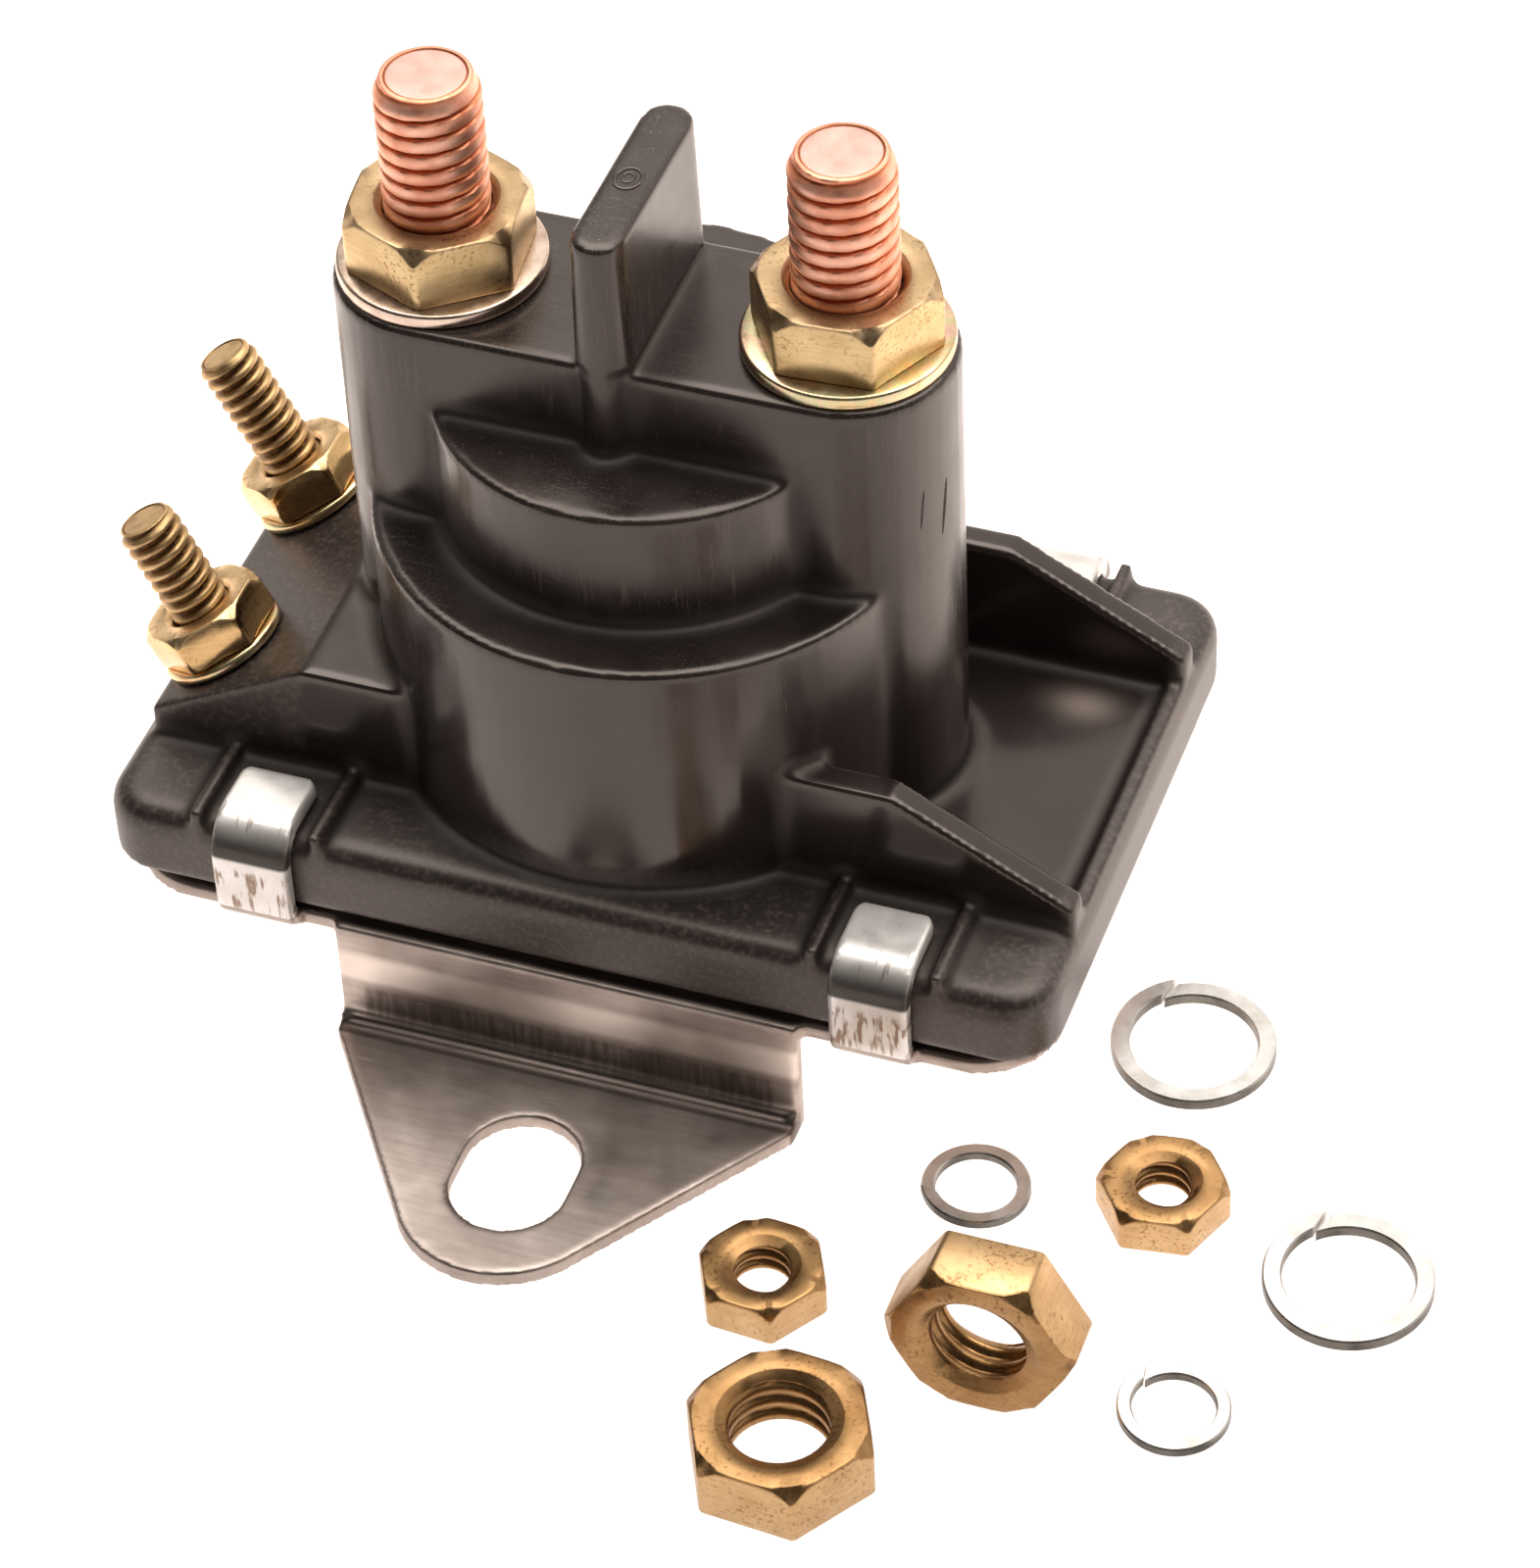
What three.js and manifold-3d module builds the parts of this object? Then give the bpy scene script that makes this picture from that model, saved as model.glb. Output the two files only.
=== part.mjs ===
// Four-terminal solenoid relay: a moulded housing crimped to a steel base bracket, two copper power
// studs on a tower, two small coil studs on a slope, and the coil, plunger and contact bar inside.
// Units are millimetres. +Z is up, the power studs stand along X, and the origin is the centre of
// the base plate's underside.
import * as THREE from 'three';
import { mergeVertices } from 'three/addons/utils/BufferGeometryUtils.js';
import Module from 'manifold-3d';

const wasm = await Module();
wasm.setup();

// ---------- driving dimensions ----------
const HEIGHTS = {
  ear: -8.0, // top of the mounting ears
  ground: -9.4, // underside of the ears
  plate: 1.4, // top of the base plate
  gasket: 2.2, // top of the gasket, underside of the housing
  flange: 8.4, // top of the housing flange
  pocket: 7.6, // floor of the open pocket
  wedge: 17.8, // flat top of the wedge and of the pocket walls
  wedgeEnd: 10.8, // where the slope meets the end wall
  coilStep: 29.4, // top of the coil cylinder
  frontStep: 39.5, // top of the contact chamber, front
  backStep: 41.5, // top of the contact chamber, back
  tower: 46.4, // seat of the power studs
  studTip: 63.2,
  fin: 58.2,
};
const BASE = { halfLength: 37.1, halfDepth: 23.6, corner: 4, edge: 1.8 };
const TOWER = { halfSpacing: 15.35, radius: 8.05 };
const COIL_CYLINDER_RADIUS = 20.9;
const CONTACT_CYLINDER_RADIUS = 15.9;
const FIN = { halfThickness: 1.8, front: -9.5, back: 8.2 };
const WEDGE = { halfDepth: 15.2, end: 35.8, crest: 22.9, wall: 2.4 };
const POCKET_END = 35.3;
const SHELL = 2.5; // moulded wall
const END_WALL = 2.0; // wall at the wedge's low end
const ROOF = 5.0; // wall under the power studs

const TAB = { x: 24.1, halfWidth: 3.05, inner: 17.8, clearance: 0.1, bend: 1.2 };
const RIB = { offset: 4.8, halfThickness: 0.5, rise: 1.0 };
const SHEET = 1.4; // bracket steel
const LEG = { halfWidth: 18.2, face: 24.1 };
const EAR = { tip: 45.4, tipRadius: 8.2, root: 25.4, slotCentre: 35.3, slotRadius: 4.4, slotStraight: 2.6 };

const MAIN_STUD = { radius: 3.9, headRadius: 5.4, headHeight: 3.5, chamfer: 0.6 };
const MAIN_NUT = { acrossFlats: 12.4, height: 4.9, crown: 6.5 };
const MAIN_WASHER = { radius: 7.7, height: 1.2 };
const COIL_STUD = { radius: 2.35, y: 9.0, headRadius: 3.0, headHeight: 2.0, chamfer: 0.35 };
const COIL_NUT = { acrossFlats: 8.7, height: 3.2, crown: 4.55 };
const COIL_WASHER = { radius: 4.9, height: 0.8 };
const MAIN_LOCK_WASHER = { inner: 4.8, outer: 6.2, height: 1.0, slit: 0.5 };
const COIL_LOCK_WASHER = { inner: 3.0, outer: 4.05, height: 0.8, slit: 0.4 };

const GAP = 0.3; // between turned or curved faces
const FIT = 0.2; // round a shank in its hole
const CORNER_SLOPE = 1.6; // fall of a nut's turned corners

// ---------- colours ----------
const finish = (color, roughness, metalness) => new THREE.MeshStandardMaterial({ color, roughness, metalness });
const FINISH = {
  plastic: finish(0x241c1b, 0.38, 0),
  insulation: finish(0xb9a684, 0.6, 0),
  rubber: finish(0x151313, 0.8, 0),
  steel: finish(0xa59a92, 0.36, 1),
  darkSteel: finish(0x77706c, 0.45, 1),
  zinc: finish(0xc9c4bc, 0.25, 1),
  copper: finish(0xd98b70, 0.32, 1),
  brass: finish(0xc0954f, 0.32, 1),
  chromate: finish(0xd8b45c, 0.3, 1),
  enamel: finish(0x9c4a26, 0.4, 0.6),
};

// ---------- solids ----------
function solid(geometry) {
  const plain = geometry.clone();
  plain.deleteAttribute('normal');
  plain.deleteAttribute('uv');
  const merged = mergeVertices(plain, 1e-5);
  return new wasm.Manifold(
    new wasm.Mesh({
      numProp: 3,
      vertProperties: new Float32Array(merged.attributes.position.array),
      triVerts: new Uint32Array(merged.index.array),
    })
  );
}

function geometryOf(manifold) {
  const mesh = manifold.getMesh();
  const geometry = new THREE.BufferGeometry();
  geometry.setAttribute('position', new THREE.BufferAttribute(new Float32Array(mesh.vertProperties), 3));
  geometry.setIndex(new THREE.BufferAttribute(new Uint32Array(mesh.triVerts), 1));
  geometry.computeVertexNormals();
  return geometry;
}

const join = (...parts) => parts.reduce((whole, part) => whole.add(part));
const cut = (body, ...tools) => tools.reduce((rest, tool) => rest.subtract(tool), body);

function block(x0, x1, y0, y1, z0, z1) {
  const geometry = new THREE.BoxGeometry(x1 - x0, y1 - y0, z1 - z0);
  return solid(geometry.translate((x0 + x1) / 2, (y0 + y1) / 2, (z0 + z1) / 2));
}

function disc(radius, z0, z1, x = 0, y = 0, sides = 32) {
  const geometry = new THREE.CylinderGeometry(radius, radius, z1 - z0, sides);
  return solid(geometry.rotateX(Math.PI / 2).translate(x, y, (z0 + z1) / 2));
}

function prism(shape, z0, z1, sides = 5) {
  const geometry = new THREE.ExtrudeGeometry(shape, { depth: z1 - z0, bevelEnabled: false, curveSegments: sides });
  return solid(geometry.translate(0, 0, z0));
}

// A profile of [x, z] points carried along Y.
function profileAlongY(points, y0, y1) {
  const shape = new THREE.Shape(points.map(([x, z]) => new THREE.Vector2(x, z)));
  const geometry = new THREE.ExtrudeGeometry(shape, { depth: y1 - y0, bevelEnabled: false });
  return solid(geometry.rotateX(Math.PI / 2).translate(0, y1, 0));
}

// A profile of [radius, z] points turned about Z, closed on itself.
function turned(points, sides = 32) {
  const closed = [...points, points[0]].map(([radius, z]) => new THREE.Vector2(radius, z));
  return solid(new THREE.LatheGeometry(closed, sides).rotateX(Math.PI / 2));
}

const ring = (inner, outer, z0, z1, sides = 32) =>
  turned([[inner, z0], [outer, z0], [outer, z1], [inner, z1]], sides);

function roundedRectangle(halfLength, halfDepth, corner) {
  const shape = new THREE.Shape();
  const x = halfLength - corner;
  const y = halfDepth - corner;
  shape.absarc(x, y, corner, 0, Math.PI / 2);
  shape.absarc(-x, y, corner, Math.PI / 2, Math.PI);
  shape.absarc(-x, -y, corner, Math.PI, 1.5 * Math.PI);
  shape.absarc(x, -y, corner, 1.5 * Math.PI, 2 * Math.PI);
  return shape;
}

function stadium(halfStraight, radius) {
  const shape = new THREE.Shape();
  shape.absarc(halfStraight, 0, radius, -Math.PI / 2, Math.PI / 2);
  shape.absarc(-halfStraight, 0, radius, Math.PI / 2, 1.5 * Math.PI);
  return shape;
}

function halfRound(radius, front) {
  const shape = new THREE.Shape();
  const start = front ? Math.PI : 0;
  shape.absarc(0, 0, radius, start, start + Math.PI);
  return shape;
}

function hexagon(acrossFlats) {
  const radius = acrossFlats / Math.sqrt(3);
  const corners = [];
  for (let side = 0; side < 6; side += 1) {
    const angle = (side * Math.PI) / 3;
    corners.push(new THREE.Vector2(radius * Math.cos(angle), radius * Math.sin(angle)));
  }
  return new THREE.Shape(corners);
}

// A hexagon nut standing on z = 0, its corners turned down from the crown radius at the top.
function nut({ acrossFlats, height, crown }, bore) {
  const corner = acrossFlats / Math.sqrt(3);
  const drop = (corner - crown) * CORNER_SLOPE;
  const cone = turned([[0, 0], [corner, 0], [corner, height - drop], [crown, height], [0, height]], 30);
  return prism(hexagon(acrossFlats), 0, height).intersect(cone).subtract(disc(bore, -1, height + 1, 0, 0, 24));
}

// A round helical spring from z0 to z1, its ends closed by the wire's own section.
function spring(radius, wire, turns, z0, z1) {
  const points = [];
  const stepsPerTurn = 10;
  for (let step = 0; step <= turns * stepsPerTurn; step += 1) {
    const angle = (step / stepsPerTurn) * 2 * Math.PI;
    const z = z0 + wire + (z1 - z0 - 2 * wire) * (step / (turns * stepsPerTurn));
    points.push(new THREE.Vector3(radius * Math.cos(angle), radius * Math.sin(angle), z));
  }
  return tube(points, wire, turns * stepsPerTurn, 3);
}

function tube(points, radius, steps, sides) {
  const section = new THREE.Shape();
  section.absarc(0, 0, radius, 0, 2 * Math.PI);
  const path = new THREE.CatmullRomCurve3(points);
  const options = { steps, extrudePath: path, bevelEnabled: false, curveSegments: sides };
  return solid(new THREE.ExtrudeGeometry(section, options));
}

// ---------- the assembly ----------
const relay = new THREE.Group();

function add(name, manifold, material, parent = relay) {
  const mesh = new THREE.Mesh(geometryOf(manifold), material);
  mesh.name = name;
  parent.add(mesh);
  return mesh;
}

const mirrored = (manifold, axis) => manifold.mirror(axis);

// ---------- housing ----------
function wedgeBody(end, halfDepth, drop) {
  const z0 = HEIGHTS.gasket;
  const crest = HEIGHTS.wedge - drop;
  const low = crest - (end - WEDGE.crest) * Math.tan(slopeAngle());
  return profileAlongY([[0, z0], [-end, z0], [-end, low], [-WEDGE.crest, crest], [0, crest]], -halfDepth, halfDepth);
}

// The flange: a plain lower slab and an upper one with its top edge rounded.
function flange() {
  const { halfLength, halfDepth, corner, edge } = BASE;
  const outline = roundedRectangle(halfLength - edge, halfDepth - edge, corner - edge);
  const rounded = new THREE.ExtrudeGeometry(outline, {
    depth: HEIGHTS.flange - HEIGHTS.gasket - 2 * edge,
    bevelThickness: edge,
    bevelSize: edge,
    bevelSegments: 3,
    curveSegments: 4,
  });
  const slab = prism(roundedRectangle(halfLength, halfDepth, corner), HEIGHTS.gasket, HEIGHTS.flange - edge, 4);
  return join(solid(rounded.translate(0, 0, HEIGHTS.gasket + edge)), slab);
}

function tabRibs() {
  const ribs = [];
  for (const x of [-TAB.x, TAB.x]) {
    for (const side of [-RIB.offset, RIB.offset]) {
      const centre = x + side;
      ribs.push(
        block(
          centre - RIB.halfThickness, centre + RIB.halfThickness,
          -BASE.halfDepth, BASE.halfDepth,
          HEIGHTS.gasket, HEIGHTS.flange + RIB.rise
        )
      );
    }
  }
  return ribs;
}

function housing() {
  const z0 = HEIGHTS.gasket;
  const rightWedge = mirrored(wedgeBody(BASE.halfLength - 0.4, WEDGE.halfDepth, 0), [1, 0, 0]);
  const pocket = block(
    10, POCKET_END,
    -(WEDGE.halfDepth - WEDGE.wall), WEDGE.halfDepth - WEDGE.wall,
    HEIGHTS.pocket, HEIGHTS.wedge + 1
  );
  const pocketMouth = block(
    POCKET_END - 0.1, BASE.halfLength + 1,
    -(WEDGE.halfDepth - WEDGE.wall), WEDGE.halfDepth - WEDGE.wall,
    HEIGHTS.flange, HEIGHTS.wedge + 1
  );
  const fin = prism(
    stadium((FIN.back - FIN.front) / 2 - FIN.halfThickness, FIN.halfThickness), HEIGHTS.frontStep - 2, HEIGHTS.fin
  ).rotate([0, 0, 90]).translate([0, (FIN.back + FIN.front) / 2, 0]);
  const outside = join(
    cut(rightWedge, pocket, pocketMouth),
    flange(),
    ...tabRibs(),
    wedgeBody(WEDGE.end, WEDGE.halfDepth, 0)
  ).subtract(pocket);
  const body = join(
    outside,
    disc(COIL_CYLINDER_RADIUS, z0, HEIGHTS.coilStep, 0, 0, 80),
    prism(halfRound(CONTACT_CYLINDER_RADIUS, true), z0, HEIGHTS.frontStep, 14),
    prism(halfRound(CONTACT_CYLINDER_RADIUS, false), z0, HEIGHTS.backStep, 14),
    prism(stadium(TOWER.halfSpacing, TOWER.radius), z0, HEIGHTS.tower, 10),
    fin
  );
  return cut(body, ...housingHollows());
}

const CHAMBER = { radius: 18.4, top: 26.9 };
const CONTACT_ROOM = { radius: 13.4, top: 37.0, floor: 31.0, halfDepth: 5.6 };

function housingHollows() {
  const z0 = HEIGHTS.gasket - 1;
  const slopeDrop = SHELL / Math.cos(slopeAngle());
  const hollowWedge = wedgeBody(WEDGE.end - END_WALL, WEDGE.halfDepth - SHELL, slopeDrop).translate([0, 0, -0.001]);
  const roofUnderside = HEIGHTS.tower - ROOF;
  const holes = [-1, 1].map((side) =>
    disc(MAIN_STUD.radius + FIT, roofUnderside - 1, HEIGHTS.tower + 1, side * TOWER.halfSpacing, 0, 32)
  );
  return [
    disc(CHAMBER.radius, z0, CHAMBER.top, 0, 0, 48),
    disc(CONTACT_ROOM.radius, CHAMBER.top - 1, CONTACT_ROOM.top, 0, 0, 40),
    prism(stadium(TOWER.halfSpacing, CONTACT_ROOM.halfDepth), CONTACT_ROOM.floor, roofUnderside, 6),
    join(hollowWedge, block(-(WEDGE.end - END_WALL), 0, -12.7, 12.7, z0, HEIGHTS.gasket + 0.5)),
    ...holes,
    ...coilStudHoles(),
  ];
}

// ---------- coil terminals on the slope ----------
function slopeAngle() {
  return Math.atan2(HEIGHTS.wedge - HEIGHTS.wedgeEnd, WEDGE.end - WEDGE.crest);
}

const SLOPE_SEAT = { x: -32.0 };
SLOPE_SEAT.z = HEIGHTS.wedge - (-SLOPE_SEAT.x - WEDGE.crest) * Math.tan(slopeAngle());

// Stands a piece that was made along +Z on the slope, at the stud's seat.
function onSlope(manifold, y) {
  return manifold.rotate([0, (-slopeAngle() * 180) / Math.PI, 0]).translate([SLOPE_SEAT.x, y, SLOPE_SEAT.z]);
}

function coilStudHoles() {
  return [-COIL_STUD.y, COIL_STUD.y].map((y) => onSlope(disc(COIL_STUD.radius + FIT, -6, 4, 0, 0, 24), y));
}

function coilStud(reach) {
  const { radius, headRadius, headHeight, chamfer } = COIL_STUD;
  const under = -SHELL - GAP;
  return turned(
    [
      [0, under - headHeight], [headRadius, under - headHeight], [headRadius, under], [radius, under],
      [radius, reach - chamfer], [radius - chamfer, reach], [0, reach],
    ],
    32
  );
}

// ---------- base bracket ----------
function earShape() {
  const shape = new THREE.Shape();
  const tipCentre = EAR.tip - EAR.tipRadius;
  const run = tipCentre - EAR.root;
  const reach = LEG.halfWidth - 1.5;
  const lean = Math.atan2(run, reach);
  const spread = Math.asin(EAR.tipRadius / Math.hypot(reach, run));
  const turn = Math.PI / 2 - lean - spread;
  shape.moveTo(-LEG.halfWidth, LEG.face - SHEET);
  shape.lineTo(LEG.halfWidth, LEG.face - SHEET);
  shape.lineTo(LEG.halfWidth, EAR.root);
  shape.absarc(0, tipCentre, EAR.tipRadius, turn, Math.PI - turn);
  shape.lineTo(-LEG.halfWidth, EAR.root);
  return shape;
}

function earSlot() {
  const slot = stadium(EAR.slotStraight / 2, EAR.slotRadius);
  const below = HEIGHTS.ear - SHEET - 1;
  return prism(slot, below, HEIGHTS.ear + 1, 7).rotate([0, 0, 90]).translate([0, EAR.slotCentre, 0]);
}

function backEar() {
  const leg = block(-LEG.halfWidth, LEG.halfWidth, LEG.face - SHEET, LEG.face, HEIGHTS.ear - SHEET, HEIGHTS.plate);
  const ear = prism(earShape(), HEIGHTS.ear - SHEET, HEIGHTS.ear, 8);
  return join(leg, ear).subtract(earSlot());
}

// A crimp tab: a strip of the sheet bent up round the plate's edge and folded over the flange.
function tab(x, side) {
  const face = BASE.halfDepth + TAB.clearance;
  const top = HEIGHTS.flange + TAB.clearance;
  const inner = TAB.bend;
  const outer = TAB.bend + SHEET;
  const low = SHEET + inner;
  const high = top - BASE.edge;
  const shape = new THREE.Shape();
  shape.moveTo(face - inner - 2, 0);
  shape.absarc(face - inner, low, outer, -Math.PI / 2, 0);
  shape.absarc(face - BASE.edge, high, BASE.edge + SHEET, 0, Math.PI / 2);
  shape.lineTo(TAB.inner, top + SHEET);
  shape.lineTo(TAB.inner, top);
  shape.absarc(face - BASE.edge, high, BASE.edge, Math.PI / 2, 0, true);
  shape.absarc(face - inner, low, inner, 0, -Math.PI / 2, true);
  shape.lineTo(face - inner - 2, SHEET);
  const strip = new THREE.ExtrudeGeometry(shape, { depth: 2 * TAB.halfWidth, bevelEnabled: false, curveSegments: 5 });
  strip.rotateX(Math.PI / 2).rotateZ(Math.PI / 2).translate(x - TAB.halfWidth, 0, 0);
  return side > 0 ? solid(strip) : mirrored(solid(strip), [0, 1, 0]);
}

function baseBracket() {
  const plate = prism(roundedRectangle(BASE.halfLength - 0.6, BASE.halfDepth - 0.3, 6.5), 0, HEIGHTS.plate, 4);
  const ear = backEar();
  const tabs = [];
  for (const side of [-1, 1]) {
    tabs.push(tab(-TAB.x, side), tab(TAB.x, side));
  }
  return join(plate, ear, mirrored(ear, [0, 1, 0]), ...tabs);
}

function gasket() {
  const outline = roundedRectangle(BASE.halfLength - 1.4, BASE.halfDepth - 1.4, 5);
  const opening = roundedRectangle(BASE.halfLength - 3.6, BASE.halfDepth - 3.6, 3);
  return prism(outline, HEIGHTS.plate, HEIGHTS.gasket, 4).subtract(prism(opening, 0, HEIGHTS.gasket + 1, 4));
}

// ---------- power terminals ----------
function mainStud() {
  const { radius, headRadius, headHeight, chamfer } = MAIN_STUD;
  const head = HEIGHTS.tower - ROOF;
  return turned(
    [
      [0, head - headHeight], [headRadius, head - headHeight], [headRadius, head], [radius, head],
      [radius, HEIGHTS.studTip - chamfer], [radius - chamfer, HEIGHTS.studTip], [0, HEIGHTS.studTip],
    ],
    40
  );
}

// ---------- magnet, plunger and contacts ----------
const MAGNET = {
  floor: 1.6, canFloor: 3.2, canTop: 24.6, canOuter: 18.0, canWall: 1.6,
  polePlate: 22.8, coreRadius: 5.0, coreFoot: 16.2,
  bobbin: [3.5, 22.5], sleeve: [5.3, 6.0],
};
const ROD = { radius: 1.5, foot: 8.6, tip: 37.4 };
const PLUNGER = { radius: 5.0, foot: 1.5, top: 13.5, recess: 3.4, recessFloor: 8.4 };
const BAR = { halfLength: 19.2, halfDepth: 4.5, bottom: 33.4, top: 35.4 };
const SEAT = { bottom: 27.2, top: 28.0, radius: 3.9 };
const LEAD_RADIUS = 0.5;

function yokeCan() {
  const { floor, canFloor, canTop, canOuter, canWall } = MAGNET;
  const hole = MAGNET.sleeve[0] + 0.1;
  const profile = [
    [hole, floor], [canOuter, floor], [canOuter, canTop], [canOuter - canWall, canTop],
    [canOuter - canWall, canFloor], [hole, canFloor],
  ];
  const leadWindow = block(-canOuter - 1, -canOuter / 2, -6, 6, 10.4, 14.8);
  return turned(profile, 48).subtract(leadWindow);
}

function fixedCore() {
  const { polePlate, canTop, canOuter, canWall, coreRadius, coreFoot } = MAGNET;
  const rim = canOuter - canWall - 0.1;
  const bore = ROD.radius + 0.4;
  const profile = [
    [bore, coreFoot], [coreRadius, coreFoot], [coreRadius, polePlate], [rim, polePlate], [rim, canTop], [bore, canTop],
  ];
  return turned(profile, 40);
}

function bobbin() {
  const [z0, z1] = MAGNET.bobbin;
  const inner = MAGNET.sleeve[1] + 0.15;
  return turned(
    [
      [inner, z0], [15.9, z0], [15.9, z0 + 1.1], [inner + 1.1, z0 + 1.1],
      [inner + 1.1, z1 - 1.1], [15.9, z1 - 1.1], [15.9, z1], [inner, z1],
    ],
    40
  );
}

function plunger() {
  const { radius, foot, top, recess, recessFloor } = PLUNGER;
  return turned(
    [
      [0, foot], [radius - 0.4, foot], [radius, foot + 0.4], [radius, top], [recess, top],
      [recess, recessFloor], [0, recessFloor],
    ],
    32
  );
}

function contactBar() {
  const shape = roundedRectangle(BAR.halfLength, BAR.halfDepth, 1.5);
  return prism(shape, BAR.bottom, BAR.top, 6).subtract(disc(2.5, 30, 40, 0, 0, 24));
}

function insulatingBush() {
  const bore = ROD.radius + 0.2;
  return turned([[bore, 32.5], [3.9, 32.5], [3.9, 33.3], [2.3, 33.3], [2.3, 35.5], [bore, 35.5]], 32);
}

// A lead leaves the stud head along the stud's axis and enters the can through its window.
function coilLead(side) {
  const y = side * COIL_STUD.y;
  const down = (depth) => {
    const x = SLOPE_SEAT.x + depth * Math.sin(slopeAngle());
    return new THREE.Vector3(x, y, SLOPE_SEAT.z - depth * Math.cos(slopeAngle()));
  };
  const underHead = SHELL + GAP + COIL_STUD.headHeight;
  const points = [
    down(underHead + 0.3),
    down(underHead + 1.6),
    new THREE.Vector3(-25.5, y * 0.8, 8.6),
    new THREE.Vector3(-21.5, y * 0.6, 11.2),
    new THREE.Vector3(-18.6, y * 0.5, 12.5),
    new THREE.Vector3(-15.6, y * 0.48, 12.7),
  ];
  return tube(points, LEAD_RADIUS, 16, 4);
}

// ---------- loose fasteners ----------
function splitWasher({ inner, outer, height, slit }) {
  const opening = block(inner - 1, outer + 1, -slit / 2, slit / 2, -1, height + 1);
  return ring(inner, outer, 0, height, 32).subtract(opening);
}

// Spare fasteners lying on the ground in front of the relay: place on the ground and turn in degrees.
const LOOSE_NUTS = [
  { name: 'spare_main_nut_flat', size: MAIN_NUT, bore: MAIN_STUD.radius, x: 27.4, y: -54.4, turn: -4 },
  { name: 'spare_coil_nut_near', size: COIL_NUT, bore: COIL_STUD.radius, x: 20.9, y: -39.8, turn: -4 },
  { name: 'spare_coil_nut_far', size: COIL_NUT, bore: COIL_STUD.radius, x: 45.9, y: -23.3, turn: 8 },
];
const LOOSE_WASHERS = [
  { name: 'main_lock_washer_far', size: MAIN_LOCK_WASHER, x: 43.5, y: -7.3, turn: 135 },
  { name: 'main_lock_washer_near', size: MAIN_LOCK_WASHER, x: 60.7, y: -26.5, turn: 136 },
  { name: 'coil_lock_washer_far', size: COIL_LOCK_WASHER, x: 32.4, y: -25.7, turn: -140 },
  { name: 'coil_lock_washer_near', size: COIL_LOCK_WASHER, x: 52.2, y: -41.7, turn: 151 },
];
const STANDING_NUT = { x: 38.8, y: -40.5 };

function addLooseFasteners() {
  for (const { name, size, bore, x, y, turn } of LOOSE_NUTS) {
    const mesh = add(name, nut(size, bore), FINISH.brass);
    mesh.position.set(x, y, HEIGHTS.ground);
    mesh.rotation.z = THREE.MathUtils.degToRad(turn);
  }
  for (const { name, size, x, y, turn } of LOOSE_WASHERS) {
    const mesh = add(name, splitWasher(size), FINISH.zinc);
    mesh.position.set(x, y, HEIGHTS.ground);
    mesh.rotation.z = THREE.MathUtils.degToRad(turn);
  }
  const standing = add('spare_main_nut_standing', nut(MAIN_NUT, MAIN_STUD.radius), FINISH.brass);
  standing.rotation.x = Math.PI / 2;
  standing.position.set(STANDING_NUT.x, STANDING_NUT.y, HEIGHTS.ground + MAIN_NUT.acrossFlats / 2);
}

// ---------- put together ----------
add('housing', housing(), FINISH.plastic);
add('base_bracket', baseBracket(), FINISH.steel);
add('gasket', gasket(), FINISH.rubber);

const MAIN_TERMINALS = [
  { name: 'left', side: -1, nutTurn: 37, washer: FINISH.copper },
  { name: 'right', side: 1, nutTurn: 3, washer: FINISH.chromate },
];
const COIL_TERMINALS = [
  { name: 'front', side: -1, nutTurn: 32, reach: 12.4 },
  { name: 'rear', side: 1, nutTurn: 30, reach: 14.2 },
];

for (const { name, side, nutTurn, washer: washerFinish } of MAIN_TERMINALS) {
  const x = side * TOWER.halfSpacing;
  add(`main_stud_${name}`, mainStud(), FINISH.copper).position.x = x;
  const washer = ring(MAIN_STUD.radius + FIT, MAIN_WASHER.radius, 0, MAIN_WASHER.height);
  add(`main_washer_${name}`, washer, washerFinish).position.set(x, 0, HEIGHTS.tower);
  const seat = HEIGHTS.tower + MAIN_WASHER.height;
  const jam = add(`main_nut_${name}`, nut(MAIN_NUT, MAIN_STUD.radius + 0.1), FINISH.brass);
  jam.position.set(x, 0, seat);
  jam.rotation.z = THREE.MathUtils.degToRad(nutTurn);
}

for (const { name, side, nutTurn, reach } of COIL_TERMINALS) {
  const terminal = new THREE.Group();
  terminal.position.set(SLOPE_SEAT.x, side * COIL_STUD.y, SLOPE_SEAT.z);
  terminal.rotation.y = -slopeAngle();
  relay.add(terminal);
  add(`coil_stud_${name}`, coilStud(reach), FINISH.brass, terminal);
  const washer = ring(COIL_STUD.radius + FIT, COIL_WASHER.radius, GAP / 2, GAP / 2 + COIL_WASHER.height, 28);
  add(`coil_washer_${name}`, washer, FINISH.chromate, terminal);
  const smallNut = add(`coil_nut_${name}`, nut(COIL_NUT, COIL_STUD.radius + 0.1), FINISH.brass, terminal);
  smallNut.position.z = GAP / 2 + COIL_WASHER.height + 0.1;
  smallNut.rotation.z = THREE.MathUtils.degToRad(nutTurn);
  add(`coil_lead_${name}`, coilLead(side), FINISH.enamel);
}

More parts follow.
